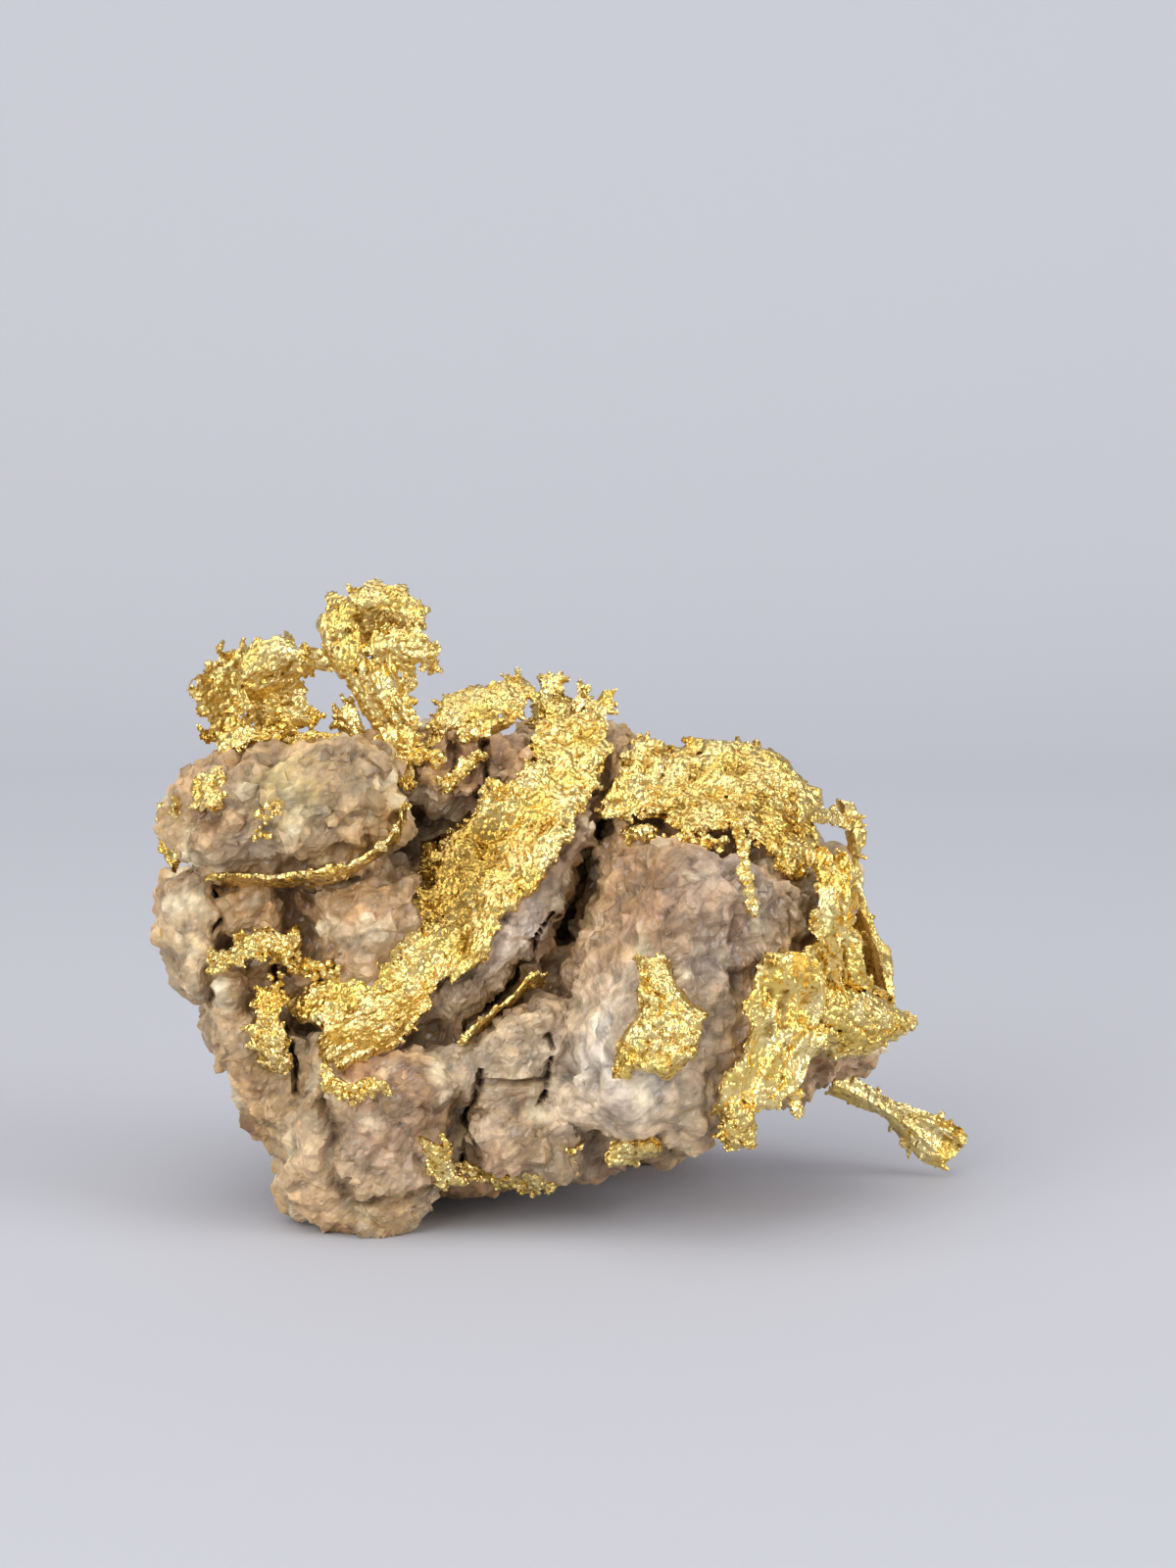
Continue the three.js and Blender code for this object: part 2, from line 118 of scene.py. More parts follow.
LAMPS = {
    "lamp_overhead": {"at": (-40, -30, 190), "across": 220, "watts": 0.2, "colour": "#FFFDF8"},
    "lamp_front_left": {"at": (-130, -170, 100), "across": 180, "watts": 0.32, "colour": "#FFFFFF"},
    "lamp_right": {"at": (170, -70, 80), "across": 130, "watts": 0.2, "colour": "#FBFBFF"},
}
LAMP_AIM = Vector((0, 0, 6)) * MM
for name, lamp in LAMPS.items():
    light = bpy.data.lights.new(name, "AREA")
    light.size = lamp["across"] * MM
    light.energy = lamp["watts"]
    light.color = linear(lamp["colour"])[:3]
    holder = bpy.data.objects.new(name, light)
    holder.location = Vector(lamp["at"]) * MM
    holder.rotation_euler = (LAMP_AIM - holder.location).to_track_quat("-Z", "Y").to_euler()
    bpy.context.scene.collection.objects.link(holder)

room = bpy.data.worlds.new("soft_room")
room.use_nodes = True
glow = room.node_tree.nodes["Background"].inputs
glow["Color"].default_value = linear("#EFEDEA")
glow["Strength"].default_value = 0.5
bpy.context.scene.world = room
bpy.context.scene.view_settings.view_transform = "Standard"

FRAME_TALL = 1600  # pixels
FOCAL_LENGTH = 4750  # in those pixels
SENSOR = 36  # mm
CAMERA_AT = (0.565, -113.6, 28.03)  # mm
CAMERA_TIP = 8.82  # degrees down from level
lens = bpy.data.cameras.new("camera")
lens.sensor_width = SENSOR
lens.lens = SENSOR * FOCAL_LENGTH / FRAME_TALL
lens.clip_start = 5 * MM
camera = bpy.data.objects.new("camera", lens)
camera.location = Vector(CAMERA_AT) * MM
camera.rotation_euler = (np.radians(90 - CAMERA_TIP), 0, 0)
bpy.context.scene.collection.objects.link(camera)
bpy.context.scene.camera = camera

# Quartz matrix: one lump of vein quartz, grown as interlocking sugary grains about half a millimetre across,
# then broken into blocks. It is the rock that carries the gold, and stands on three of its own corners.

QUARTZ_MESH = 0.11  # spacing of the surface points, mm
CHIP = 2.2  # across one broken chip, mm
LUMP = 1.25  # across one lump of grains that broke out whole, mm
GRAIN = 0.52  # across one sugary grain, mm
GRIT = 0.24  # across the finer grit between grains, mm
NEIGHBOURS = np.stack(np.meshgrid(*[[-1, 0, 1]] * 3, indexing="ij"), axis=-1).reshape(-1, 3)
CORNERS = np.stack(np.meshgrid(*[[0, 1]] * 3, indexing="ij"), axis=-1).reshape(-1, 3)


def cell_dice(cells, salt):
    """Three numbers from 0 to 1 for each whole-number cell, the same every run: the cell's three numbers are
    multiplied by large primes and summed, and the sum is scrambled by shifts and products."""
    key = cells.astype(np.int64) @ np.array([73856093, 19349663, 83492791]) + salt * 7919
    throws = []
    for _ in range(3):
        key = ((key ^ (key >> 13)) * 1274126177 + 97) & 0xFFFFFFFF
        key = key ^ (key >> 16)
        throws.append(key / 4294967296)
    return np.stack(throws, axis=-1)


def swell(points, across, salt):
    """Smooth noise from -1 to 1: a value at each corner of a lattice, blended between them on an S-curve."""
    scaled = points / across
    base = np.floor(scaled).astype(np.int64)
    share = scaled - base
    share = share * share * (3 - 2 * share)
    total = np.zeros(len(points))
    for corner in CORNERS:
        weight = np.prod(np.where(corner == 1, share, 1 - share), axis=1)
        total += weight * (2 * cell_dice(base + corner, salt)[:, 0] - 1)
    return total


def waver(points, across, salt):
    """A push for each point, smooth noise from -1 to 1 along each axis."""
    return np.stack([swell(points, across, salt + k) for k in range(3)], axis=1)


def grains(points, across, salt):
    """Grains with a middle in each lattice cell: each point's distance to the nearest, as a share of a cell,
    that middle's cell, and the way from it."""
    scaled = points / across
    base = np.floor(scaled).astype(np.int64)
    near = np.full(len(points), 9.0)
    owner = np.zeros((len(points), 3), dtype=np.int64)
    way = np.zeros((len(points), 3))
    for step in NEIGHBOURS:
        gap = scaled - (base + step + cell_dice(base + step, salt))
        reach = np.linalg.norm(gap, axis=1)
        nearer = reach < near
        near[nearer] = reach[nearer]
        owner[nearer] = (base + step)[nearer]
        way[nearer] = gap[nearer]
    return near, owner, way


def turned_axes(dice):
    """Three square axes for each row of dice: the first two dice pick a direction evenly from the sphere, and
    the third turns the other two axes about it."""
    height = 2 * dice[:, 0] - 1
    round_turn = 2 * np.pi * dice[:, 1]
    flat = np.sqrt(np.maximum(1 - height**2, 0))
    first = np.stack([flat * np.cos(round_turn), flat * np.sin(round_turn), height], axis=1)
    helper = np.where(np.abs(first[:, 2:3]) < 0.8, [[0.0, 0.0, 1.0]], [[1.0, 0.0, 0.0]])
    second = np.cross(first, helper)
    second /= np.linalg.norm(second, axis=1, keepdims=True)
    third = np.cross(first, second)
    spin = 2 * np.pi * dice[:, 2:3]
    return first, np.cos(spin) * second + np.sin(spin) * third, np.cos(spin) * third - np.sin(spin) * second


def angular(points, across, salt):
    """Angular grains, a turned box in each lattice cell, 0.35 to 0.7 of a cell from middle to side: for each
    point, how deep it lies in the box that holds it deepest, as a share of a cell, and the box's cell."""
    scaled = points / across
    base = np.floor(scaled).astype(np.int64)
    depth = np.full(len(points), -9.0)
    owner = np.zeros((len(points), 3), dtype=np.int64)
    for step in NEIGHBOURS:
        cell = base + step
        dice = cell_dice(cell, salt)
        gap = scaled - (cell + dice)
        sides = [np.abs(np.einsum("ij,ij->i", gap, axis)) for axis in turned_axes(cell_dice(cell, salt + 1))]
        inside = 0.35 + 0.35 * dice[:, 1] - np.max(sides, axis=0)
        deeper = inside > depth
        depth[deeper] = inside[deeper]
        owner[deeper] = cell[deeper]
    return depth, owner


def outward(points, faces):
    """Unit normals at the points: the sum of the quads' normals there, each from the quad's two diagonals."""
    face_way = np.cross(points[faces[:, 2]] - points[faces[:, 0]], points[faces[:, 3]] - points[faces[:, 1]])
    total = np.zeros_like(points)
    for side in range(4):
        for axis in range(3):
            total[:, axis] += np.bincount(faces[:, side], face_way[:, axis], len(points))
    return total / np.maximum(np.linalg.norm(total, axis=1, keepdims=True), 1e-12)


def settled(points, faces, rounds):
    """The points after that many rounds of moving each to the average of its neighbours along the edges."""
    a = faces.ravel()
    b = np.roll(faces, -1, axis=1).ravel()
    count = np.maximum(np.bincount(a, minlength=len(points)) + np.bincount(b, minlength=len(points)), 1)
    for _ in range(rounds):
        total = [
            np.bincount(a, points[b, axis], len(points)) + np.bincount(b, points[a, axis], len(points))
            for axis in range(3)
        ]
        points = np.stack(total, axis=1) / count[:, None]
    return points


def resurfaced(node, spacing):
    """Points in millimetres and quads of an even skin over a copy of a node's solid."""
    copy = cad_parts[node].data.copy()
    work = bmesh.new()
    work.from_mesh(copy)
    bmesh.ops.scale(work, vec=(1 / MM, 1 / MM, 1 / MM), verts=work.verts)
    bmesh.ops.remove_doubles(work, verts=work.verts, dist=0.001)
    work.to_mesh(copy)
    work.free()
    holder = bpy.data.objects.new("resurfacing", copy)
    bpy.context.scene.collection.objects.link(holder)
    skin = holder.modifiers.new("skin", "REMESH")
    skin.mode = "VOXEL"
    skin.voxel_size = spacing
    graph = bpy.context.evaluated_depsgraph_get()
    mesh = bpy.data.meshes.new_from_object(holder.evaluated_get(graph))
    points = np.empty(len(mesh.vertices) * 3)
    mesh.vertices.foreach_get("co", points)
    faces = np.empty(len(mesh.loops), dtype=np.int32)
    mesh.loops.foreach_get("vertex_index", faces)
    bpy.data.objects.remove(holder)
    bpy.data.meshes.remove(mesh)
    bpy.data.meshes.remove(copy)
    return points.reshape(-1, 3), faces.reshape(-1, 4)


def from_line(points, line):
    """Each point's distance from a line of straight pieces as seen from the front, and how far the point lies
    behind the line."""
    near = np.full(len(points), 99.0)
    depth = np.full(len(points), 99.0)
    for start, end in zip(np.array(line[:-1]), np.array(line[1:])):
        run = (end - start)[[0, 2]]
        share = np.clip((points[:, [0, 2]] - start[[0, 2]]) @ run / (run @ run), 0, 1)
        spot = start + share[:, None] * (end - start)
        gap = np.linalg.norm((points - spot)[:, [0, 2]], axis=1)
        closer = gap < near
        near = np.where(closer, gap, near)
        depth = np.where(closer, points[:, 1] - spot[:, 1], depth)
    return near, depth


# Open joints between the blocks on the display side, each a line down the rock, its width and its depth.
CRACKS = [
    (
        [[-7.0, -2.3, 6.3], [-7.1, -2.1, 5.2], [-6.8, -2.8, 4.4], [-6.5, -3.0, 3.9], [-6.6, -3.0, 3.2]],
        0.3, 0.7,
    ),
    (
        [[-2.0, -4.1, 3.9], [-2.2, -3.9, 3.4], [-2.5, -3.7, 2.6], [-2.2, -3.8, 2.3], [-2.4, -3.6, 1.6]],
        0.26, 0.5,
    ),
    ([[-2.0, -4.1, 3.7], [-1.3, -4.1, 3.8], [-0.4, -4.0, 3.9]], 0.3, 0.3),
    ([[-0.4, -3.6, 4.9], [-0.4, -4.0, 3.9], [-0.5, -4.1, 3.2]], 0.24, 0.4),
    (
        [[-5.8, -4.2, 3.4], [-5.5, -4.6, 2.8], [-5.7, -4.7, 2.3], [-5.5, -4.7, 1.8], [-5.2, -4.6, 1.2]],
        0.6, 0.3,
    ),
    ([[-5.0, -4.6, 0.9], [-4.3, -4.5, 0.9], [-3.4, -4.2, 1.2]], 0.4, 0.25),
    ([[-6.6, -2.2, 8.4], [-6.8, -1.4, 7.7], [-6.6, -1.4, 7.1]], 0.7, 0.5),
    ([[-8.8, -0.8, 8.2], [-8.6, -1.4, 7.4], [-8.5, -2.4, 6.9]], 0.28, 0.6),
    ([[-2.0, -0.3, 11.8], [-2.1, -0.8, 11.3], [-2.0, -1.0, 10.8], [-2.1, -0.9, 10.2]], 0.3, 0.6),
    ([[-2.9, -0.4, 11.5], [-2.6, -0.8, 11.0], [-2.8, -0.8, 10.3]], 0.3, 0.6),
    ([[-0.3, -1.9, 7.3], [-0.8, -1.8, 6.7], [-1.2, -1.6, 5.8], [-2.0, -2.2, 5.0]], 0.25, 0.7),
]

rock, rock_faces = resurfaced("quartz_matrix", QUARTZ_MESH)
rock = settled(rock, rock_faces, 3)
rock_out = outward(rock, rock_faces)
hollow = np.einsum("ij,ij->i", settled(rock, rock_faces, 60) - rock, rock_out)
CRACK_WAVER = 0.24  # how far a crack strays from its line, mm
CRACK_REACH = 1.5  # how far behind or before its line it cuts
opening = np.zeros(len(rock))
for line, wide, deep in CRACKS:
    aside, behind = from_line(rock + CRACK_WAVER * waver(rock, 0.5, 5), line)
    spread = wide * (0.75 + 0.5 * swell(rock, 0.7, 8))
    profile = np.clip(1 - (2 * aside / spread) ** 2, 0, 1) * (np.abs(behind) < CRACK_REACH)
    rock[:, 1] += deep * profile
    opening = np.maximum(opening, profile * min(1, deep / 0.8))

# Chips tilt each its own way, and carry lumps, grains on the lumps and grit on the grains, with the odd pit.
_, chip, way = grains(rock, CHIP, 11)
chips = np.einsum("ij,ij->i", way, 2 * cell_dice(chip, 12) - 1)
bent = rock + 0.08 * waver(rock, 0.5, 21)
lump, _ = angular(bent, LUMP, 25)
bulk, grain = angular(bent, GRAIN, 31)
fine, _ = angular(bent, GRIT, 41)
sort = cell_dice(grain, 33)
seams = np.clip((0.04 - bulk) / 0.16, 0, 1)

# Where the rock is most broken up: the middle of the place and its reach.
RUGGED = [
    ((-2.4, -0.9, 10.6), 1.5),
    ((0.9, -1.0, 9.7), 1.0),
    ((3.3, -1.6, 9.5), 1.1),
    ((-7.6, -1.5, 7.3), 1.0),
    ((-4.0, -1.6, 9.2), 0.8),
    ((6.6, -0.2, 3.5), 1.2),
]

# Where it parted along a flatter face or has been worn: likewise.
WORN = [
    ((1.7, -3.8, 7.9), 2.2),
    ((1.0, -4.9, 4.2), 2.2),
    ((-9.3, -1.9, 7.6), 1.5),
    ((-2.6, -4.0, 4.2), 1.2),
]

# Where it swells out under the front block and behind the sheets at its right: likewise.
SWOLLEN = [((1.6, -4.6, 2.3), 1.2), ((4.6, -4.2, 5.2), 1.5)]


def bell(points, middle, reach):
    """A bell over the points: one at the middle, and e to the minus square of the distance in reaches."""
    far = np.linalg.norm(points - np.array(middle), axis=1) / reach
    return np.exp(-far * far)


def near_spots(points, spots):
    """The greatest of the bells of a few spots, at each point."""
    return np.max([bell(points, middle, reach) for middle, reach in spots], axis=0)


rugged = near_spots(rock, RUGGED)
worn = near_spots(rock, WORN)
swollen = near_spots(rock, SWOLLEN)
pits = np.clip(swell(rock, 0.8, 51) - 0.5 + 0.5 * rugged, 0, 1)

# How high the relief stands, mm. Lumps, grains and grit have a second height, added where it is rugged.
SWELL_HIGH = 0.12
CHIP_HIGH = 0.16
LUMP_HIGH = (0.6, 0.4)
GRAIN_HIGH = (0.42, 0.3)
GRIT_HIGH = (0.16, 0.2)
PIT_DEEP = 0.4
SWOLLEN_HIGH = 0.35
WORN_SHARE = 0.45  # of the relief, gone where worn
MEAN_DEPTH = 0.13  # of a point in its box, as a share of a cell
relief = (
    SWELL_HIGH * swell(rock, 2.4, 61)
    + CHIP_HIGH * chips
    + (LUMP_HIGH[0] + LUMP_HIGH[1] * rugged) * (lump - MEAN_DEPTH)
    + (GRAIN_HIGH[0] + GRAIN_HIGH[1] * rugged) * (bulk - MEAN_DEPTH)
    + (GRIT_HIGH[0] + GRIT_HIGH[1] * rugged) * (fine - MEAN_DEPTH)
    - PIT_DEEP * pits
)
lift = relief * (1 - opening) * (1 - WORN_SHARE * worn) + SWOLLEN_HIGH * swollen
rock = rock + rock_out * lift[:, None]
rock[:, 2] = np.maximum(rock[:, 2], 0)

# Where the vein took up iron, clay or nothing at all: a colour, its stain's middle, reach and strength.
STAINS = [
    ("#DFC49A", (-9.3, -1.9, 7.6), 1.6, 0.8),
    ("#B89E82", (-7.2, -3.0, 9.6), 2.2, 0.8),
    ("#CDB97E", (-6.6, -2.9, 10.7), 1.0, 0.8),
    ("#AD8464", (1.7, -3.8, 7.9), 2.0, 0.8),
    ("#E4D8C6", (1.0, -4.9, 4.2), 2.2, 1.0),
    ("#B8A896", (3.6, -4.6, 7.0), 1.5, 0.7),
    ("#D9A981", (-4.6, -4.3, 4.3), 0.9, 0.8),
    ("#CFAD88", (7.2, 0.0, 3.4), 1.6, 1.0),
    ("#AC988A", (4.3, -4.0, 8.7), 1.6, 0.7),
    ("#A57F68", (-1.8, -0.3, 11.4), 1.3, 0.8),
    ("#E0CEBC", (-1.2, -2.2, 7.2), 1.5, 1.0),
    ("#C6A077", (-4.6, -2.6, 7.2), 1.6, 0.6),
    ("#D3BA97", (-6.2, -4.0, 2.2), 1.2, 0.7),
    ("#C49C7A", (-4.1, -4.7, 2.8), 1.2, 0.5),
    ("#8E6550", (-1.5, -3.4, 1.2), 1.5, 0.6),
    ("#BF987A", (3.3, -1.4, 9.6), 1.4, 0.9),
]


def rgb(code):
    """The linear colour of a hex code as an array of three."""
    return np.array(linear(code)[:3])


def toward(colours, code, share):
    """Each colour moved by its own share towards the one of a hex code."""
    return colours + np.clip(share, 0, 1)[:, None] * (rgb(code) - colours)


def quartz_colours(points, tone, shade_and_dirt):
    """Colours over the rock: tan with clouds of grey and pink, the stains, clouds of brown and pale, a tone
    for each grain, and dark brown for painted shade and dirt."""
    colours = np.tile(rgb("#BE9C6A"), (len(points), 1))
    colours = toward(colours, "#B09A7E", 0.2 + 0.9 * swell(points, 2.3, 201))
    colours = toward(colours, "#CFA778", swell(points, 1.6, 202))
    patchy = 1 + 0.5 * swell(points, 0.7, 203)
    for code, middle, reach, strength in STAINS:
        colours = toward(colours, code, strength * bell(points, middle, reach) * patchy)
    colours = toward(colours, "#906A48", 1.2 * swell(points, 1.1, 204) - 0.3)
    colours = toward(colours, "#EADAB6", 1.3 * swell(points, 0.6, 205) - 0.35 + 0.5 * (tone[:, 0] - 0.5))
    colours = colours * (0.7 + 0.6 * tone[:, 1:2])
    return toward(colours, "#3F2E24", shade_and_dirt)


# Vein quartz: milky, faintly see-through grains stained tan by iron, dull where broken fine and bright on the
# odd facet. Its colours, read from the points, hold painted shade and dirt dark in the hollows and cracks.
quartz, tree = finish_named("vein_quartz")
where = add(tree, "TexCoord").outputs["Object"]
tint_and_shade = add(tree, "Attribute", attribute_name="quartz_tint_and_shade")
speck = add(tree, "TexNoise", {"Vector": where, "Scale": 1 / (0.2 * MM), "Detail": 4.0, "Roughness": 0.6})
facet = add(tree, "TexVoronoi", {"Vector": where, "Scale": 1 / (0.34 * MM)})
facet_dice = add(tree, "SeparateColor", {"Color": facet.outputs["Color"]}).outputs
mottle = {"Value": speck, "From Min": 0.3, "From Max": 0.7, "To Min": 0.8, "To Max": 1.18}
shade = add(tree, "MapRange", mottle)
tone = add(tree, "MapRange", {"Value": facet_dice["Green"], "To Min": 0.84, "To Max": 1.22})
edge = {"Value": facet, "From Min": 0.4, "From Max": 0.8, "To Min": 1.0, "To Max": 0.82}
border = add(tree, "MapRange", edge)
toned = add(tree, "Math", {0: shade, 1: tone}, operation="MULTIPLY")
value = add(tree, "Math", {0: toned, 1: border}, operation="MULTIPLY")
colour = add(tree, "HueSaturation", {"Color": tint_and_shade, "Value": value})
gloss = add(tree, "MapRange", {"Value": facet_dice["Red"], "To Min": 0.12, "To Max": 0.5})
facets = add(tree, "Bump", {"Height": facet, "Strength": 0.5, "Distance": 0.06 * MM}, invert=True)
gritty = add(tree, "Bump", {"Height": speck, "Strength": 0.5, "Distance": 0.04 * MM, "Normal": facets})
look = {
    "Base Color": colour,
    "Roughness": gloss,
    "IOR": 1.54,
    "Subsurface Weight": 0.15,
    "Subsurface Radius": (0.4, 0.3, 0.2),
    "Subsurface Scale": 1 * MM,
    "Normal": gritty,
}
add(tree, "OutputMaterial", {"Surface": add(tree, "BsdfPrincipled", look)})


def painted(piece, name, colours):
    """Gives a piece a colour at each point, under a name that its material reads."""
    layer = piece.data.color_attributes.new(name, "FLOAT_COLOR", "POINT")
    filled = np.concatenate([colours, np.ones((len(colours), 1))], axis=1)
    layer.data.foreach_set("color", filled.astype(np.float32).ravel())


# Painted shade in the hollows, painted shade and dirt in the cracks and pits, and dark seams between grains.
shade_and_dirt = np.clip(hollow / 0.5, 0, 1) ** 1.3 + 0.8 * opening + 0.7 * pits + 0.35 * seams
matrix = mesh_piece("quartz_matrix_rock", rock, rock_faces, quartz, smooth=False)
painted(matrix, "quartz_tint_and_shade", quartz_colours(rock, sort, shade_and_dirt))
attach(matrix, "root")
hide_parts("quartz_matrix")

# Sugary grains: single crystals of the same quartz that stand out of the broken faces where the vein came
# apart between grains instead of through them. Each has about three quarters of its depth in the rock.

GOLDEN = (1 + 5**0.5) / 2
ICOSAHEDRON = np.array(
    [
        [-1, GOLDEN, 0], [1, GOLDEN, 0], [-1, -GOLDEN, 0], [1, -GOLDEN, 0],
        [0, -1, GOLDEN], [0, 1, GOLDEN], [0, -1, -GOLDEN], [0, 1, -GOLDEN],
        [GOLDEN, 0, -1], [GOLDEN, 0, 1], [-GOLDEN, 0, -1], [-GOLDEN, 0, 1],
    ]
) / np.hypot(1, GOLDEN)
ICOSAHEDRON_FACES = np.array(
    [
        [0, 11, 5], [0, 5, 1], [0, 1, 7], [0, 7, 10], [0, 10, 11],
        [1, 5, 9], [5, 11, 4], [11, 10, 2], [10, 7, 6], [7, 1, 8],
        [3, 9, 4], [3, 4, 2], [3, 2, 6], [3, 6, 8], [3, 8, 9],
        [4, 9, 5], [2, 4, 11], [6, 2, 10], [8, 6, 7], [9, 8, 1],
    ]
)


def row_dice(index, salt):
    """Three numbers from 0 to 1 for each whole number."""
    return cell_dice(np.stack([index, index * 3 + 1, index * 7 + 2], axis=1), salt)


def crystals(places, sizes, rough, salt):
    """Points and triangles of one twenty-sided crystal at each place: turned its own way, drawn out a little
    along one axis, with each corner moved in or out by up to the share called rough."""
    count = len(places)
    index = np.arange(count)
    dice = row_dice(index, salt)
    corner = np.stack(np.meshgrid(index, np.arange(12), [0], indexing="ij"), axis=-1).reshape(-1, 3)
    reach = (1 + rough * (2 * cell_dice(corner, salt + 1)[:, 0] - 1)).reshape(count, 12, 1)
    drawn = np.stack([0.75 + 0.7 * dice[:, 2], np.ones(count), 0.8 + 0.3 * dice[:, 0]], axis=1)
    shape = ICOSAHEDRON[None] * reach * drawn[:, None] * sizes[:, None, None]
    points = places[:, None] + np.einsum("nik,nkj->nij", shape, np.stack(turned_axes(dice), axis=1))
    faces = ICOSAHEDRON_FACES[None] + 12 * index[:, None, None]
    return points.reshape(-1, 3), faces.reshape(-1, 3)


def one_each(owner, near):
    """The index of the point nearest to each grain's middle, for every grain that reaches the surface."""
    _, number = np.unique(owner, axis=0, return_inverse=True)
    order = np.lexsort((near, number.ravel()))
    first = np.concatenate([[True], np.diff(number.ravel()[order]) > 0])
    return order[first]


SHOULDER_AT = [-6.6, -2.4, 10.4]  # the middle of the block with the largest grains, mm
SHOULDER_REACH = [3.0, 1.6, 1.4]
picked = one_each(grain, -bulk)
shoulder = np.linalg.norm((rock[picked] - SHOULDER_AT) / SHOULDER_REACH, axis=1) < 1
sugary = shoulder | (swell(rock[picked], 2.6, 301) + 0.5 * swell(rock[picked], 0.9, 302) > -0.25)
open_air = (opening[picked] < 0.1) & (hollow[picked] < 0.25) & (rock[picked, 2] > 0.3)
kept = sugary & open_air & (sort[picked, 2] < np.where(shoulder, 0.5, 0.28))
picked = picked[kept]
radius = GRAIN * (0.18 + 0.26 * sort[picked, 0]) * np.where(shoulder[kept], 1.5, 1.1)
middles = rock[picked] - rock_out[picked] * (0.55 * radius)[:, None]
middles[:, 2] = np.maximum(middles[:, 2], 1.6 * radius)
grain_points, grain_faces = crystals(middles, radius, 0.28, 311)
sugar = mesh_piece("quartz_sugar_grains", grain_points, grain_faces, quartz, smooth=False)
grain_tone = np.repeat(sort[picked], 12, axis=0)
# Painted shade on the grains that sit in hollows.
grain_shade = np.repeat(0.8 * np.clip(hollow[picked] / 0.4, 0, 1), 12)
painted(sugar, "quartz_tint_and_shade", quartz_colours(np.repeat(rock[picked], 12, axis=0), grain_tone, grain_shade))
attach(sugar, "root")

# Gold in the trough: a thin sheet of native gold that grew in a crack and was left lining the trough when the
# quartz on its other side came away. Its face is a crinkled mosaic of crystals a tenth of a millimetre wide.

GOLD_MESH = 0.05  # spacing of the points on a leaf, mm
LOBE = 1.0  # length of a lobe of the rim
TEETH = (0.36, 0.17)  # length of the larger and the smaller teeth
PORES = (0.33, 0.15)  # across the larger and the smaller holes
CRINKLES = (0.4, 0.2)  # across the larger and the smaller crinkles
TAPER = 0.25  # width of the rim, where a leaf thins
SPRIG_RIM = 0.1  # width of the part of the rim that sprigs grow from
SPRIG = 0.1  # size of a sprig's first crystal


def curve_through(points, along):
    """The smooth curve through a few points, read at shares of the way along it: between each two points, the
    cubic that sets off and arrives along the line between the points on either side."""
    points = np.asarray(points, float)
    padded = np.vstack([2 * points[0] - points[1], points, 2 * points[-1] - points[-2]])
    place = along * (len(points) - 1)
    span = np.clip(np.floor(place).astype(int), 0, len(points) - 2)
    t = (place - span)[:, None]
    a, b, c, d = (padded[span + k] for k in range(4))
    return b + 0.5 * t * (c - a + t * (2 * a - 5 * b + 4 * c - d + t * (3 * (b - c) + d - a)))


def leaf_frame(left, right, margin):
    """A grid of points between two edges, shares u along and v across, straight from edge to edge and carried
    past them by the margin, with unit normals to the display side and each point's way in from the rim."""
    fine = np.linspace(0, 1, 80)
    a, b = curve_through(left, fine), curve_through(right, fine)
    length = np.linalg.norm(np.diff((a + b) / 2, axis=0), axis=1).sum()
    width = np.linalg.norm(b - a, axis=1).max()
    u = np.linspace(-margin / length, 1 + margin / length, max(8, int((length + 2 * margin) / GOLD_MESH)))
    v = np.linspace(-margin / width, 1 + margin / width, max(8, int((width + 2 * margin) / GOLD_MESH)))
    a, b = curve_through(left, u)[:, None], curve_through(right, u)[:, None]
    points = a + (b - a) * v[None, :, None]
    normal = np.cross(np.gradient(points, axis=0), np.gradient(points, axis=1))
    normal /= np.maximum(np.linalg.norm(normal, axis=2, keepdims=True), 1e-9)
    if normal[len(u) // 2, len(v) // 2, 1] > 0:
        return leaf_frame(right, left, margin)
    local = np.linalg.norm(b - a, axis=2)
    inward = np.minimum(np.minimum(v, 1 - v)[None] * local, (np.minimum(u, 1 - u) * length)[:, None])
    return points, normal, u, v, length, width, inward


def joined_up(kept):
    """The kept cells of a grid that can be reached from the one nearest its middle through kept cells."""
    reached = np.zeros_like(kept)
    cells = np.argwhere(kept)
    start = cells[np.abs(cells - np.array(kept.shape) / 2).sum(axis=1).argmin()]
    reached[tuple(start)] = True
    while True:
        grown = reached.copy()
        grown[1:] |= reached[:-1]
        grown[:-1] |= reached[1:]
        grown[:, 1:] |= reached[:, :-1]
        grown[:, :-1] |= reached[:, 1:]
        grown &= kept
        if (grown == reached).all():
            return reached
        reached = grown


def leaf_walls(kept, far):
    """Quads over the kept cells of a grid of points, front and back, and round every rim between the two. The
    back's points come after the front's in the same order."""
    columns = kept.shape[1] + 1
    number = np.arange((kept.shape[0] + 1) * columns).reshape(-1, columns)
    a, b, c, d = number[:-1, :-1], number[1:, :-1], number[1:, 1:], number[:-1, 1:]
    front = np.stack([a, b, c, d], axis=-1)[kept]
    quads = [front, front[:, ::-1] + far]
    walled = np.pad(kept, 1)
    above, below = walled[:-1, 1:-1], walled[1:, 1:-1]
    before, after = walled[1:-1, :-1], walled[1:-1, 1:]
    rims = (
        (below & ~above, number[:, :-1], number[:, 1:]),
        (above & ~below, number[:, 1:], number[:, :-1]),
        (after & ~before, number[1:], number[:-1]),
        (before & ~after, number[:-1], number[1:]),
    )
    for here, first, last in rims:
        p, q = first[here], last[here]
        quads.append(np.stack([p, q, q + far, p + far], axis=1))
    return np.concatenate(quads)


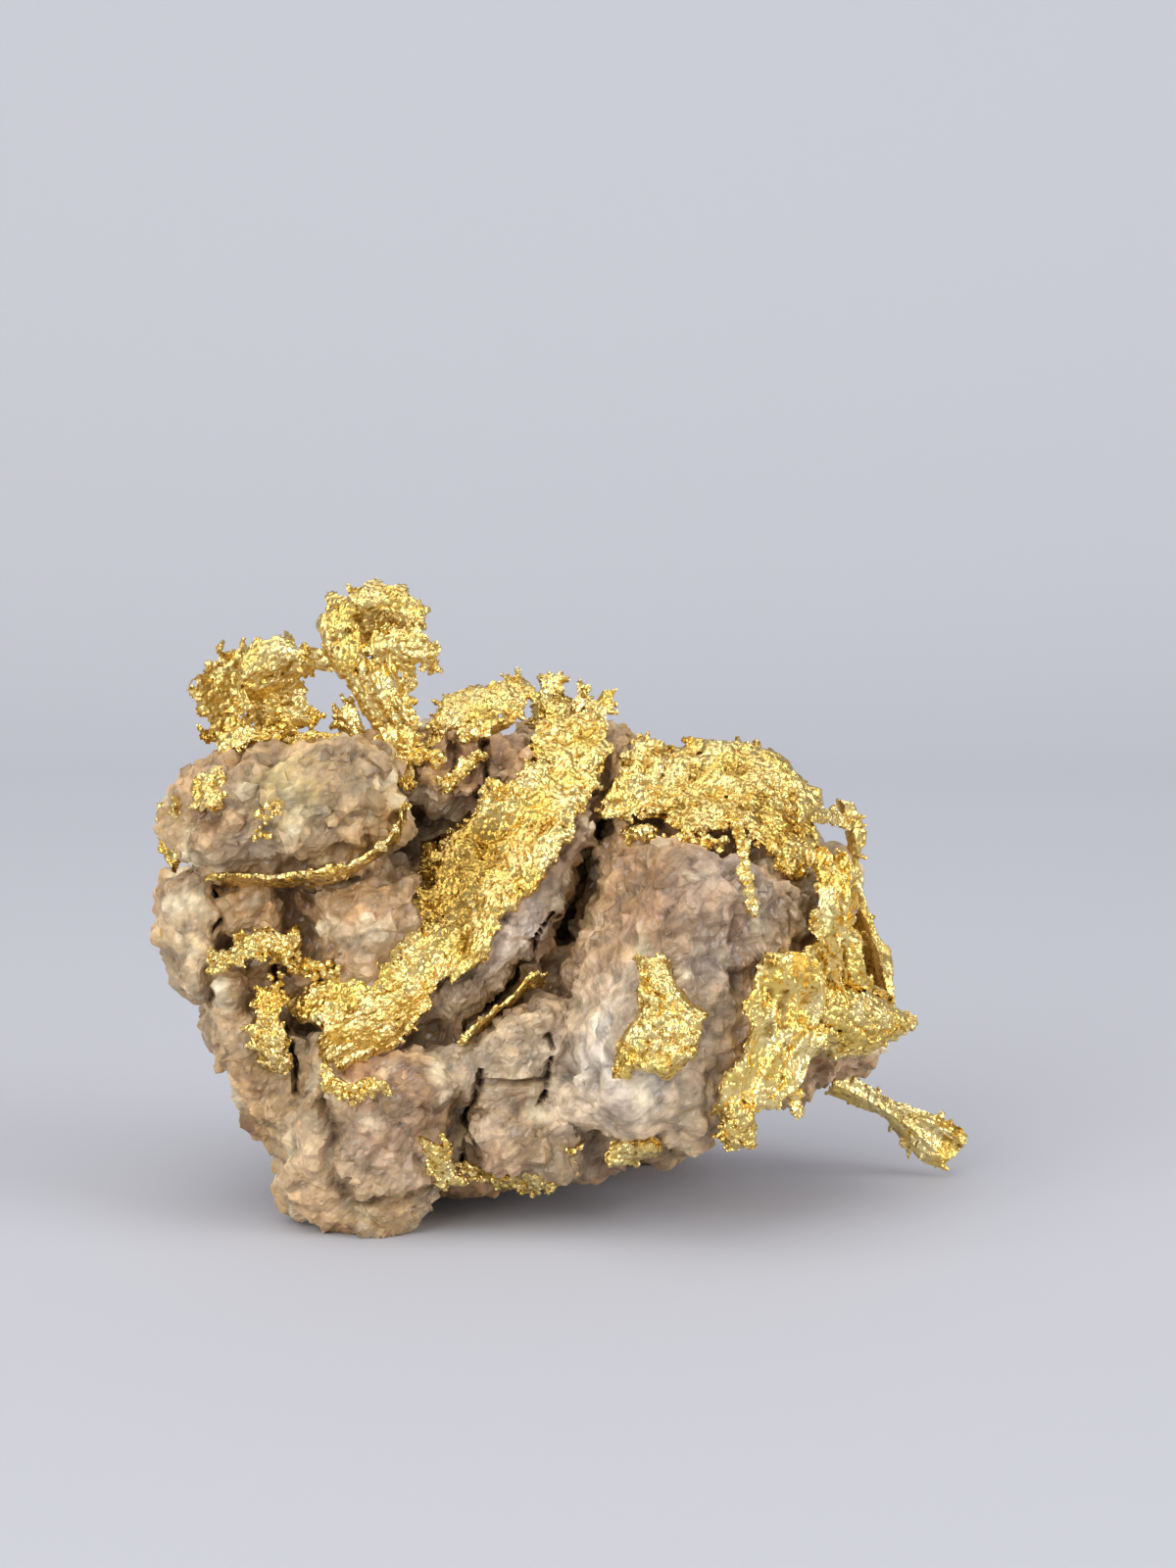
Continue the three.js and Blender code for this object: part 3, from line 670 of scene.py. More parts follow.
def leaf(
    left, right, bulge=0.0, thick=0.14, lobe=0.15, rag=0.15, pores=0.0, fold=0.12,
    foil=0.06, knot=0.0, bead=0.21, pleat=0.7, sharp=0.0, frill=0.03,
    shade=0.0, grainy=0.9, salt=0,
):
    """Points, triangles and, at each point, painted shade and graininess of one leaf of gold. Its sheet is
    bulged in the middle, folded along its length in swells or in sharp pleats, and cut to a rim that wanders
    in lobes and smaller teeth. Its faces carry crinkles, which are ridges where a noise passes through
    nought, and rounded knots. Painted shade darkens the troughs of the crinkles (on a knotted leaf, the gaps
    between knots), the valleys of sharp pleats, and the whole leaf by its share of shade. Sprigs of three
    crystals grow out of the rim."""
    points, normal, u, v, length, width, inward = leaf_frame(left, right, lobe + rag)
    shape = points.shape[:2]
    flat = points.reshape(-1, 3)
    n = normal.reshape(-1, 3)
    along, across = np.meshgrid(u * length, v * width, indexing="ij")
    strip = np.stack([along.ravel() / 3, across.ravel(), np.full(len(flat), 0.5)], axis=1)
    pleats = swell(strip, pleat, salt + 1)
    pleats += sharp * (0.7 - 2.4 * np.abs(pleats) - pleats)
    folds = pleats + 0.6 * swell(flat, 0.9, salt + 2) + 0.3 * swell(flat, 0.4, salt + 3)
    arch = (4 * bulge * v * (1 - v))[None].repeat(len(u), axis=0).ravel()
    sheet = flat + n * (fold * folds + arch)[:, None]
    teeth = 0.8 * swell(flat, TEETH[0], salt + 5) + 0.5 * swell(flat, TEETH[1], salt + 6)
    inside = inward.ravel() - lobe * swell(flat, LOBE, salt + 4) - rag * teeth
    hole = swell(flat, PORES[0], salt + 7) + 0.6 * swell(flat, PORES[1], salt + 8)
    solid = ((inside > 0) & (hole < 1.3 - pores)).reshape(shape)
    kept = joined_up(solid[:-1, :-1] & solid[1:, :-1] & solid[:-1, 1:] & solid[1:, 1:])
    half = thick / 2 * np.sqrt(np.clip(inside / TAPER, 0.1, 1))
    faces = []
    for side in (0, 20):
        bent = sheet + 0.1 * waver(sheet, 0.3, salt + side + 9)
        ridge = 1 - 2.2 * np.abs(swell(bent, CRINKLES[0], salt + side + 12))
        small = 1 - 2.2 * np.abs(swell(bent, CRINKLES[1], salt + side + 13))
        near, _, _ = grains(bent, bead, salt + side + 14)
        dome = np.sqrt(np.clip(1 - (near / 0.75) ** 2, 0, 1))
        height = dome - 0.4 if knot > 0 else ridge
        faces.append((foil * (0.6 * ridge + 0.4 * small) + knot * dome, height))
    front = sheet + n * (half + faces[0][0])[:, None]
    back = sheet - n * (half + faces[1][0])[:, None]
    quads = leaf_walls(kept, len(flat))
    used, quads = np.unique(quads, return_inverse=True)
    quads = quads.reshape(-1, 4)
    body = np.concatenate([front, back])[used]
    # Painted shade in the valleys of sharp pleats and the troughs of the crinkles, and the leaf's share of
    # shade.
    crease_shade = 0.9 * sharp * np.clip(-0.1 - pleats, 0, 1)
    painted_shade = np.concatenate([crease_shade - faces[0][1], crease_shade - faces[1][1]])[used]
    painted_shade = np.clip(shade + np.clip(0.1 + painted_shade, 0, 1), 0, 1)

    tangents = np.stack(np.gradient(points, axis=(0, 1)))
    slopes = np.stack(np.gradient(inside.reshape(shape)))[..., None]
    away = -(slopes * tangents / (tangents**2).sum(axis=-1, keepdims=True)).sum(axis=0).reshape(-1, 3)
    away /= np.maximum(np.linalg.norm(away, axis=1, keepdims=True), 1e-9)
    cells = np.argwhere(kept)
    at = cells[:, 0] * shape[1] + cells[:, 1]
    dice = row_dice(at, salt + 15)
    sprigs = (inside[at] < SPRIG_RIM) & (dice[:, 0] < frill)
    buds = (inside[at] >= SPRIG_RIM) & (dice[:, 0] < 0.005 + 0.1 * knot)
    places = [np.where(dice[buds, 1:2] < 0.75, front[at[buds]], back[at[buds]])]
    sizes = [0.05 + 0.05 * dice[buds, 2] + 0.2 * knot * dice[buds, 1]]
    for joint in range(3):
        reach = (0.02 + 0.08 * joint) * (0.4 + 0.8 * dice[sprigs, 1:2])
        sway = 0.05 * joint * (2 * dice[sprigs, 2:3] - 1)
        places.append(sheet[at[sprigs]] + away[at[sprigs]] * reach + n[at[sprigs]] * sway)
        sizes.append((SPRIG - 0.015 * joint) * (0.7 + 0.6 * dice[sprigs, 2]))
    beads, bead_faces = crystals(np.concatenate(places), np.concatenate(sizes), 0.25, salt + 16)
    triangles = np.concatenate([quads[:, [0, 1, 2]], quads[:, [0, 2, 3]], bead_faces + len(body)])
    painted_shade = np.concatenate([painted_shade, np.full(len(beads), 0.6 * shade)])
    return np.concatenate([body, beads]), triangles, np.stack([painted_shade, np.full(len(painted_shade), grainy)], axis=1)


def specks(line, spread, count, size, salt):
    """Points, triangles and a graininess of one half, with no painted shade of its own, of a scatter of gold
    crystals, each at a place along a line that its dice pick, and off it by up to the spread."""
    index = np.arange(count)
    dice = row_dice(index, salt)
    offset = 2 * cell_dice(np.stack([index, index * 5 + 3, index * 11 + 4], axis=1), salt + 1) - 1
    places = curve_through(line, dice[:, 0]) + spread * offset
    body, faces = crystals(places, size * (0.5 + dice[:, 1]), 0.18, salt + 2)
    return body, faces, np.tile([0.0, 0.5], (len(body), 1))


# Native gold: bright untarnished metal, paler than pure gold for the silver in it. Every crystal face mirrors
# another part of the room, so it glitters. Its colour is painted deeper in shade where light would bounce
# between crystals: in the troughs and creases marked on each leaf and in the gaps between beads.
gold, tree = finish_named("native_gold")
where = add(tree, "TexCoord").outputs["Object"]
shade_and_grain = add(tree, "Attribute", attribute_name="gold_shade_and_grain")
split = add(tree, "SeparateColor", {"Color": shade_and_grain}).outputs
# Painted shade: the shade marked at each point, and the shade in the gaps between beads, whichever is deeper.
painted_shade_level = add(tree, "MapRange", {"Value": split["Red"], "To Max": 0.9})
beads = add(tree, "TexVoronoi", {"Vector": where, "Scale": 1 / (0.14 * MM)})
sunk = add(tree, "Math", {0: beads, 1: split["Green"]}, operation="MULTIPLY")
# Painted shade in the gaps between beads, as far as the point is grainy.
between = add(tree, "MapRange", {"Value": sunk, "From Min": 0.36, "From Max": 0.72, "To Max": 0.46})
deepest_painted_shade = add(tree, "Math", {0: painted_shade_level, 1: between}, operation="MAXIMUM")
cloud = add(tree, "TexNoise", {"Vector": where, "Scale": 1 / (0.8 * MM), "Detail": 3.0})
cast = add(tree, "ValToRGB", {"Fac": cloud})
cast.color_ramp.elements[0].position = 0.35
cast.color_ramp.elements[0].color = linear("#F2D070")
cast.color_ramp.elements[1].position = 0.65
cast.color_ramp.elements[1].color = linear("#FBE6A4")
# The gold mixed towards dark amber by the painted shade.
deep = add(tree, "Mix", {"Factor": deepest_painted_shade, 6: cast, 7: linear("#A88438")}, data_type="RGBA")
lean = {"Vector": where, "Rotation": (0.0, np.radians(38), 0.0), "Scale": (0.12 * MM, 0.12 * MM, 0.24 * MM)}
drawn_out = add(tree, "Mapping", lean, vector_type="TEXTURE")
facet = add(tree, "TexVoronoi", {"Vector": drawn_out, "Scale": 1.0})
glint = add(tree, "TexVoronoi", {"Vector": where, "Scale": 1 / (0.07 * MM)})
facet_dice = add(tree, "SeparateColor", {"Color": facet.outputs["Color"]}).outputs
polish = add(tree, "MapRange", {"Value": facet_dice["Red"], "To Min": 0.16, "To Max": 0.36})
foiled = {"Vector": where, "Scale": 1 / (0.28 * MM), "Detail": 2.0, "Distortion": 0.8}
crumple = add(tree, "TexNoise", foiled, noise_type="RIDGED_MULTIFRACTAL")
crease = add(tree, "Bump", {"Height": crumple, "Strength": 0.4, "Distance": 0.04 * MM})
knobs = {"Height": sunk, "Strength": 0.8, "Distance": 0.065 * MM, "Normal": crease}
rounded = add(tree, "Bump", knobs, invert=True)
both = add(tree, "VectorMath", {0: facet.outputs["Color"], 1: glint.outputs["Color"]}, operation="ADD")
around = add(tree, "VectorMath", {0: both, 1: (1.0, 1.0, 1.0)}, operation="SUBTRACT")
tilt = add(tree, "VectorMath", {0: around, "Scale": 0.3}, operation="SCALE")
leaned = add(tree, "VectorMath", {0: rounded, 1: tilt}, operation="ADD")
facing = add(tree, "VectorMath", {0: leaned}, operation="NORMALIZE")
look = {"Base Color": deep.outputs[2], "Metallic": 1.0, "Roughness": polish, "Normal": facing}
add(tree, "OutputMaterial", {"Surface": add(tree, "BsdfPrincipled", look)})


def gold_piece(node, *parts, shadow=()):
    """Joins leaves and specks into the one piece that stands for a node. A shadow is a middle, a reach and a
    share: gold deep in a hollow is seen in light that other gold has already coloured."""
    bodies, skins, shade_and_grain = zip(*parts)
    starts = np.cumsum([0] + [len(body) for body in bodies])
    points = np.concatenate(bodies)
    points[:, 2] = np.maximum(points[:, 2], 0)
    faces = np.concatenate([skin + start for skin, start in zip(skins, starts)])
    shade_and_grain = np.concatenate(shade_and_grain)
    for middle, reach, share in shadow:
        shade_and_grain[:, 0] = np.clip(shade_and_grain[:, 0] + share * bell(points, middle, reach), 0, 1)
    piece = mesh_piece(node + "_crystals", points, faces, gold, smooth=False)
    painted(piece, "gold_shade_and_grain", np.pad(shade_and_grain, ((0, 0), (0, 1))))
    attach(piece, "root")
    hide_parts(node)


gold_piece(
    "gold_leaf_centre",
    leaf(
        [
            [-0.8, 0.5, 11.9], [-1.2, -0.9, 10.9], [-2.6, -1.3, 9.6],
            [-3.6, -1.9, 8.0], [-5.2, -2.3, 6.3], [-6.7, -2.0, 5.2],
        ],
        [
            [0.8, 0.5, 12.1], [0.9, -0.4, 10.9], [0.0, -1.7, 9.3],
            [-1.3, -2.5, 7.7], [-3.1, -3.0, 5.3], [-5.4, -4.8, 4.2],
        ],
        bulge=-0.15, thick=0.24, lobe=0.42, rag=0.24, pores=0.02, fold=0.16, foil=0.07, salt=1000,
    ),
    leaf(
        [[-3.6, -0.2, 9.0], [-3.5, -0.7, 8.3], [-3.4, -2.0, 7.8], [-2.9, -2.4, 7.1]],
        [[-1.9, -0.6, 9.8], [-1.8, -1.6, 9.0], [-1.8, -2.3, 8.1], [-1.6, -2.6, 7.2]],
        bulge=-0.25, thick=0.2, lobe=0.25, rag=0.2, fold=0.16, foil=0.09, pleat=0.35, sharp=0.7,
        shade=0.6, salt=1050,
    ),
    leaf(
        [[0.6, 0.3, 11.8], [0.7, 0.6, 12.3], [0.9, 0.7, 12.6]],
        [[1.1, 0.3, 11.8], [1.1, 0.6, 12.3], [1.3, 0.7, 12.7]],
        thick=0.16, lobe=0.08, rag=0.1, frill=0.12, salt=1080,
    ),
    shadow=[((-2.8, -1.8, 8.5), 1.1, 1.0), ((-3.3, -2.3, 7.6), 0.8, 0.7), ((-1.9, -1.4, 9.5), 0.8, 0.6)],
)

# Fans on the left: two frilled sheets that stand free on the shoulder, open and lacy where crystals have
# grown out at the rim faster than the sheet behind them. A narrow bridge joins them over a gap.

FAN = {"thick": 0.1, "lobe": 0.18, "rag": 0.32, "fold": 0.2, "foil": 0.07, "frill": 0.08}
gold_piece(
    "gold_leaf_left_fan",
    leaf(
        [[-7.9, 0.0, 11.6], [-7.9, 0.0, 12.1], [-7.4, -0.2, 12.5], [-6.9, 0.0, 12.8], [-6.2, 0.1, 13.1]],
        [[-8.2, -0.2, 13.0], [-7.9, -0.3, 13.9], [-7.1, -0.4, 14.2], [-6.6, -0.2, 14.1], [-6.1, 0.0, 13.7]],
        bulge=0.4, pores=0.2, salt=1100, **FAN,
    ),
    leaf(
        [[-7.9, 0.2, 13.7], [-7.8, 0.2, 12.8], [-7.9, 0.2, 11.4]],
        [[-8.4, 0.3, 13.6], [-9.1, 0.1, 12.8], [-8.9, 0.1, 11.5]],
        bulge=-0.2, pores=0.4, shade=0.3, salt=1130, **FAN,
    ),
    leaf(
        [[-7.8, -0.4, 11.7], [-7.1, -0.5, 11.6], [-6.5, -0.4, 11.9]],
        [[-7.4, -0.3, 12.7], [-6.8, 0.1, 13.1], [-6.1, 0.1, 12.5]],
        bulge=-0.35, pores=0.1, shade=0.1, salt=1150, **FAN,
    ),
    leaf(
        [[-6.4, 0.0, 13.9], [-5.9, 0.0, 13.8], [-5.3, 0.0, 13.6]],
        [[-6.4, 0.0, 13.3], [-5.9, 0.0, 13.2], [-5.3, 0.0, 13.1]],
        thick=0.12, lobe=0.08, rag=0.12, frill=0.06, salt=1200,
    ),
    leaf(
        [[-8.5, -0.6, 11.2], [-8.0, -0.8, 11.4], [-7.5, -0.7, 11.5], [-6.7, -0.5, 11.4], [-5.4, -0.3, 11.4]],
        [[-8.6, -0.2, 11.7], [-8.0, -0.4, 11.8], [-7.5, -0.4, 11.8], [-6.7, -0.3, 11.7], [-5.4, -0.1, 11.6]],
        thick=0.16, lobe=0.1, rag=0.15, knot=0.06, salt=1250,
    ),
)
gold_piece(
    "gold_leaf_top_fan",
    leaf(
        [[-5.5, -0.1, 12.9], [-5.9, -0.1, 14.0], [-5.8, 0.0, 14.9], [-5.2, 0.1, 15.3]],
        [[-4.8, -0.4, 12.9], [-5.1, -0.4, 14.0], [-5.1, -0.2, 14.5], [-4.8, 0.0, 14.7]],
        bulge=0.2, pores=0.2, shade=0.22, salt=1300, **FAN,
    ),
    leaf(
        [[-5.4, 0.1, 15.3], [-4.4, 0.1, 15.4], [-3.8, 0.0, 15.2], [-3.4, -0.2, 14.7], [-3.3, -0.4, 14.0]],
        [[-5.1, 0.0, 14.6], [-4.5, 0.0, 14.7], [-4.2, -0.1, 14.5], [-4.0, -0.3, 14.2], [-4.0, -0.5, 13.8]],
        bulge=0.2, pores=0.2, shade=0.22, salt=1320, **FAN,
    ),
    leaf(
        [[-5.4, 0.3, 14.3], [-5.1, 0.3, 14.9], [-4.4, 0.3, 15.1]],
        [[-4.8, 0.2, 13.4], [-4.0, 0.2, 13.6], [-3.5, 0.2, 14.4]],
        pores=0.35, shade=0.5, salt=1340, **FAN,
    ),
    leaf(
        [[-4.6, -0.4, 14.2], [-3.7, -0.7, 14.3], [-3.0, -0.9, 13.9]],
        [[-4.7, -0.4, 13.4], [-3.8, -0.6, 13.4], [-3.1, -0.8, 13.5]],
        bulge=0.1, thick=0.12, lobe=0.1, rag=0.14, frill=0.08, shade=0.12, salt=1345,
    ),
    leaf(
        [[-5.3, -0.2, 13.6], [-4.9, -0.3, 12.5], [-4.6, -0.3, 11.8], [-4.4, -0.5, 11.1], [-4.2, -0.8, 10.4]],
        [[-4.2, -0.5, 13.6], [-4.0, -0.5, 12.7], [-3.7, -0.4, 12.1], [-3.6, -0.3, 11.3], [-3.8, -0.6, 10.3]],
        bulge=0.2, lobe=0.1, rag=0.1, fold=0.2, pleat=0.4, sharp=0.8, foil=0.04,
        grainy=0.7, salt=1350,
    ),
    leaf(
        [[-5.5, 0.1, 13.6], [-5.3, 0.0, 13.1], [-5.1, -0.1, 12.5], [-4.7, -0.2, 11.8]],
        [[-5.2, -0.3, 13.7], [-5.0, -0.5, 13.2], [-4.8, -0.6, 12.6], [-4.4, -0.6, 11.8]],
        bulge=0.1, thick=0.12, lobe=0.04, rag=0.08, foil=0.05, salt=1400,
    ),
    leaf(
        [[-5.7, 0.3, 12.1], [-5.5, 0.3, 11.8], [-5.4, 0.2, 11.3]],
        [[-5.3, 0.0, 12.6], [-5.0, -0.1, 12.0], [-4.9, -0.1, 11.4]],
        thick=0.12, lobe=0.06, rag=0.1, foil=0.05, frill=0.05, salt=1450,
    ),
    leaf(
        [[-4.2, -0.4, 13.5], [-4.0, -0.5, 13.1], [-4.0, -0.5, 12.8]],
        [[-3.7, -0.4, 13.3], [-3.6, -0.5, 13.0], [-3.8, -0.5, 12.7]],
        thick=0.12, lobe=0.03, rag=0.08, salt=1500,
    ),
)

# Leaves along the crest: a small upright leaf and a fringe of blades behind the ledge, and a broad leaf over
# the right crest, all rooted between the blocks. The broad one drips down the rock, and a narrow link joins
# it to the strip at the right.

gold_piece(
    "gold_leaf_notch",
    leaf(
        [[-3.6, 0.2, 10.8], [-2.6, 0.3, 11.4], [-1.8, 0.5, 11.6], [-0.9, 0.8, 11.9]],
        [[-3.3, 0.3, 12.2], [-2.8, 0.5, 12.6], [-1.7, 0.9, 12.9], [-0.9, 1.1, 12.8]],
        bulge=0.2, lobe=0.2, rag=0.2, pores=0.08, fold=0.16, frill=0.13, salt=1550,
    ),
    specks(
        [[-3.1, -0.9, 10.4], [-2.7, -1.0, 10.7], [-2.4, -0.9, 11.0], [-2.0, -0.7, 11.3]],
        spread=0.14, count=70, size=0.1, salt=1600,
    ),
    specks(
        [[-3.8, -0.4, 11.2], [-3.4, -0.5, 11.2], [-3.0, -0.6, 11.1]],
        spread=0.14, count=40, size=0.11, salt=1605,
    ),
    specks(
        [[-2.6, -0.3, 11.6], [-2.3, -0.4, 11.7], [-1.9, -0.2, 11.7]],
        spread=0.12, count=30, size=0.1, salt=1610,
    ),
    specks(
        [[-1.9, -1.3, 10.6], [-1.6, -1.2, 10.4], [-1.2, -1.0, 10.3]],
        spread=0.16, count=50, size=0.1, salt=1615,
    ),
)
gold_piece(
    "gold_leaf_peak",
    leaf(
        [[-0.9, 1.2, 11.3], [0.0, 1.3, 11.4], [0.9, 1.3, 11.4]],
        [[-0.8, 1.6, 12.4], [-0.1, 1.7, 12.5], [0.6, 1.7, 12.4]],
        bulge=0.1, lobe=0.3, rag=0.3, pores=0.2, fold=0.2, frill=0.15, salt=1650,
    ),
    leaf(
        [[-0.7, 1.1, 11.5], [-0.8, 1.2, 12.1], [-0.6, 1.4, 12.8]],
        [[-0.1, 1.0, 11.6], [-0.1, 1.1, 12.2], [-0.2, 1.3, 12.9]],
        bulge=0.08, lobe=0.12, rag=0.16, fold=0.14, frill=0.14, salt=1670,
    ),
    leaf(
        [[0.1, 1.2, 11.7], [0.2, 1.3, 12.3], [0.2, 1.4, 12.9]],
        [[0.5, 1.1, 11.7], [0.5, 1.2, 12.3], [0.5, 1.3, 12.9]],
        lobe=0.08, rag=0.12, frill=0.14, salt=1690,
    ),
)
gold_piece(
    "gold_leaf_crest",
    leaf(
        [[1.8, 0.6, 11.5], [3.0, 0.5, 11.4], [4.3, 0.4, 11.4], [5.4, 0.4, 11.0], [6.1, 0.3, 10.1]],
        [[1.4, -0.9, 9.6], [2.6, -1.5, 9.7], [3.8, -1.7, 9.4], [4.8, -2.0, 8.9], [5.9, -2.3, 8.1]],
        thick=0.16, lobe=0.42, rag=0.36, pores=0.1, fold=0.2, foil=0.1, frill=0.14, shade=0.32, salt=1700,
    ),
    leaf(
        [[1.7, 0.2, 11.4], [1.4, -0.5, 10.7], [1.0, -0.9, 9.8]],
        [[2.3, 0.0, 11.7], [2.4, -0.7, 10.6], [1.8, -1.1, 9.6]],
        thick=0.16, lobe=0.2, rag=0.26, pores=0.2, foil=0.08, frill=0.12, shade=0.1, salt=1710,
    ),
    leaf(
        [[5.7, -1.2, 10.2], [6.4, 0.0, 9.8], [7.1, 1.0, 9.5]],
        [[5.7, -1.3, 9.7], [6.4, -0.1, 9.4], [7.1, 0.9, 9.1]],
        thick=0.12, lobe=0.06, rag=0.1, foil=0.03, salt=1720,
    ),
    specks(
        [[4.2, -1.9, 9.8], [4.3, -3.1, 9.4], [4.3, -4.3, 9.0], [4.4, -4.3, 8.5], [4.5, -4.3, 8.0]],
        spread=0.1, count=110, size=0.1, salt=1730,
    ),
    specks(
        [[2.4, -2.0, 9.3], [3.2, -2.2, 9.3], [3.9, -2.2, 9.2]],
        spread=0.16, count=60, size=0.09, salt=1740,
    ),
    specks(
        [[1.5, -0.8, 9.2], [1.9, -1.2, 9.4], [2.2, -1.9, 9.4]],
        spread=0.15, count=40, size=0.1, salt=1745,
    ),
)

# Leaves down the right side: a broad leaf against the rock with a knot of crystals at its foot, a thin strip
# that has sprung clear of it, and two sheets with smoother lengthwise folds that end in a knotted toe.

gold_piece(
    "gold_leaf_right_face",
    leaf(
        [[5.8, -2.1, 9.0], [6.0, -3.2, 7.8], [5.9, -3.2, 6.5], [5.6, -3.4, 5.4]],
        [[6.9, -1.2, 8.8], [7.0, -1.6, 7.5], [7.2, -1.4, 6.1], [8.0, -0.4, 5.0]],
        bulge=0.2, thick=0.16, rag=0.12, fold=0.28, pleat=0.45, sharp=0.9, foil=0.05,
        grainy=0.8, shade=0.05, salt=1750,
    ),
    leaf(
        [[5.8, -3.0, 5.6], [6.5, -2.7, 5.9], [7.3, -1.9, 5.7], [8.1, -0.6, 4.9]],
        [[5.9, -2.3, 4.4], [6.6, -1.6, 3.9], [7.5, -0.9, 3.9], [8.4, -0.2, 4.4]],
        bulge=0.3, thick=0.3, lobe=0.2, rag=0.2, knot=0.1, bead=0.22, frill=0.05, salt=1770,
    ),
)
gold_piece(
    "gold_leaf_right_curl",
    leaf(
        [
            [6.7, 1.2, 9.9], [7.0, 1.1, 9.2], [7.0, 1.0, 8.3],
            [7.1, 0.8, 7.4], [7.5, 0.5, 6.7], [7.7, 0.2, 5.9], [7.9, -0.2, 5.0],
        ],
        [
            [7.2, 1.0, 9.8], [7.4, 0.9, 9.2], [7.4, 0.8, 8.1],
            [7.6, 0.6, 7.2], [7.8, 0.3, 6.6], [8.1, 0.0, 6.0], [8.3, -0.3, 4.5],
        ],
        bulge=0.08, lobe=0.05, rag=0.08, fold=0.08, pleat=0.3, sharp=0.6, foil=0.03, frill=0.02,
        shade=0.25, grainy=0.4, salt=1800,
    ),
    # A dark sheet in full painted shade behind the strip, standing for the shade in the gap between the strip
    # and the broad leaf.
    leaf(
        [[6.3, 1.6, 7.5], [6.5, 1.5, 6.7], [6.7, 1.3, 5.9], [7.0, 1.1, 5.0]],
        [[7.2, 1.2, 7.6], [7.6, 1.0, 6.8], [7.8, 0.8, 5.9], [8.1, 0.6, 5.1]],
        thick=0.12, lobe=0.06, rag=0.06, fold=0.08, foil=0.03, frill=0.0, shade=1.0, grainy=0.4, salt=1820,
    ),
    shadow=[((7.1, 0.8, 6.6), 0.5, 0.5)],
)
gold_piece(
    "gold_leaf_front_fold",
    leaf(
        [[4.8, -4.8, 7.0], [4.5, -5.0, 5.8], [4.1, -5.0, 4.6], [3.7, -5.0, 3.2]],
        [[5.9, -3.2, 6.9], [6.1, -2.9, 5.6], [5.9, -3.1, 4.4], [5.2, -3.6, 3.3]],
        bulge=0.2, thick=0.18, lobe=0.26, rag=0.14, fold=0.3, pleat=0.5, sharp=0.9, foil=0.05,
        frill=0.02, grainy=0.6, salt=1850,
    ),
    leaf(
        [[5.7, -4.1, 5.4], [5.3, -4.4, 4.6], [4.9, -4.6, 3.5]],
        [[6.3, -3.2, 4.8], [5.9, -3.5, 4.2], [5.4, -3.9, 3.4]],
        bulge=0.2, thick=0.18, lobe=0.12, rag=0.1, fold=0.24, pleat=0.45, sharp=0.9, foil=0.05,
        frill=0.02, grainy=0.6, salt=1860,
    ),
    leaf(
        [[3.8, -5.0, 3.4], [3.7, -4.9, 2.9], [3.9, -4.8, 2.3]],
        [[4.5, -4.8, 3.4], [4.6, -4.7, 2.9], [4.6, -4.6, 2.4]],
        bulge=0.2, thick=0.24, lobe=0.12, rag=0.14, knot=0.12, bead=0.26, salt=1870,
    ),
    specks(
        [[5.4, -4.0, 3.6], [5.6, -3.9, 3.3], [5.6, -3.9, 2.9]],
        spread=0.1, count=40, size=0.12, salt=1880,
    ),
)

# The spur: a narrow branch of gold that runs out of the quartz at the lower right and widens to a blade that
# hangs just clear of the surface.

gold_piece(
    "gold_spur",
    leaf(
        [
            [6.6, 1.7, 3.0], [7.5, 1.8, 2.6], [8.0, 1.9, 2.1],
            [8.6, 2.0, 1.9], [9.4, 2.0, 1.6], [10.2, 2.0, 1.0],
        ],
        [
            [6.6, 1.6, 2.2], [7.5, 1.8, 1.8], [8.1, 1.9, 1.5],
            [8.6, 1.9, 0.9], [9.0, 1.9, 0.4], [9.5, 1.9, 0.2],
        ],
        bulge=0.1, thick=0.16, lobe=0.12, rag=0.1, fold=0.14, pleat=0.4, sharp=0.6, grainy=0.7, salt=1900,
    ),
)

# Patches and clumps: knots of rounded crystals that sit on the quartz, the largest on the front block.

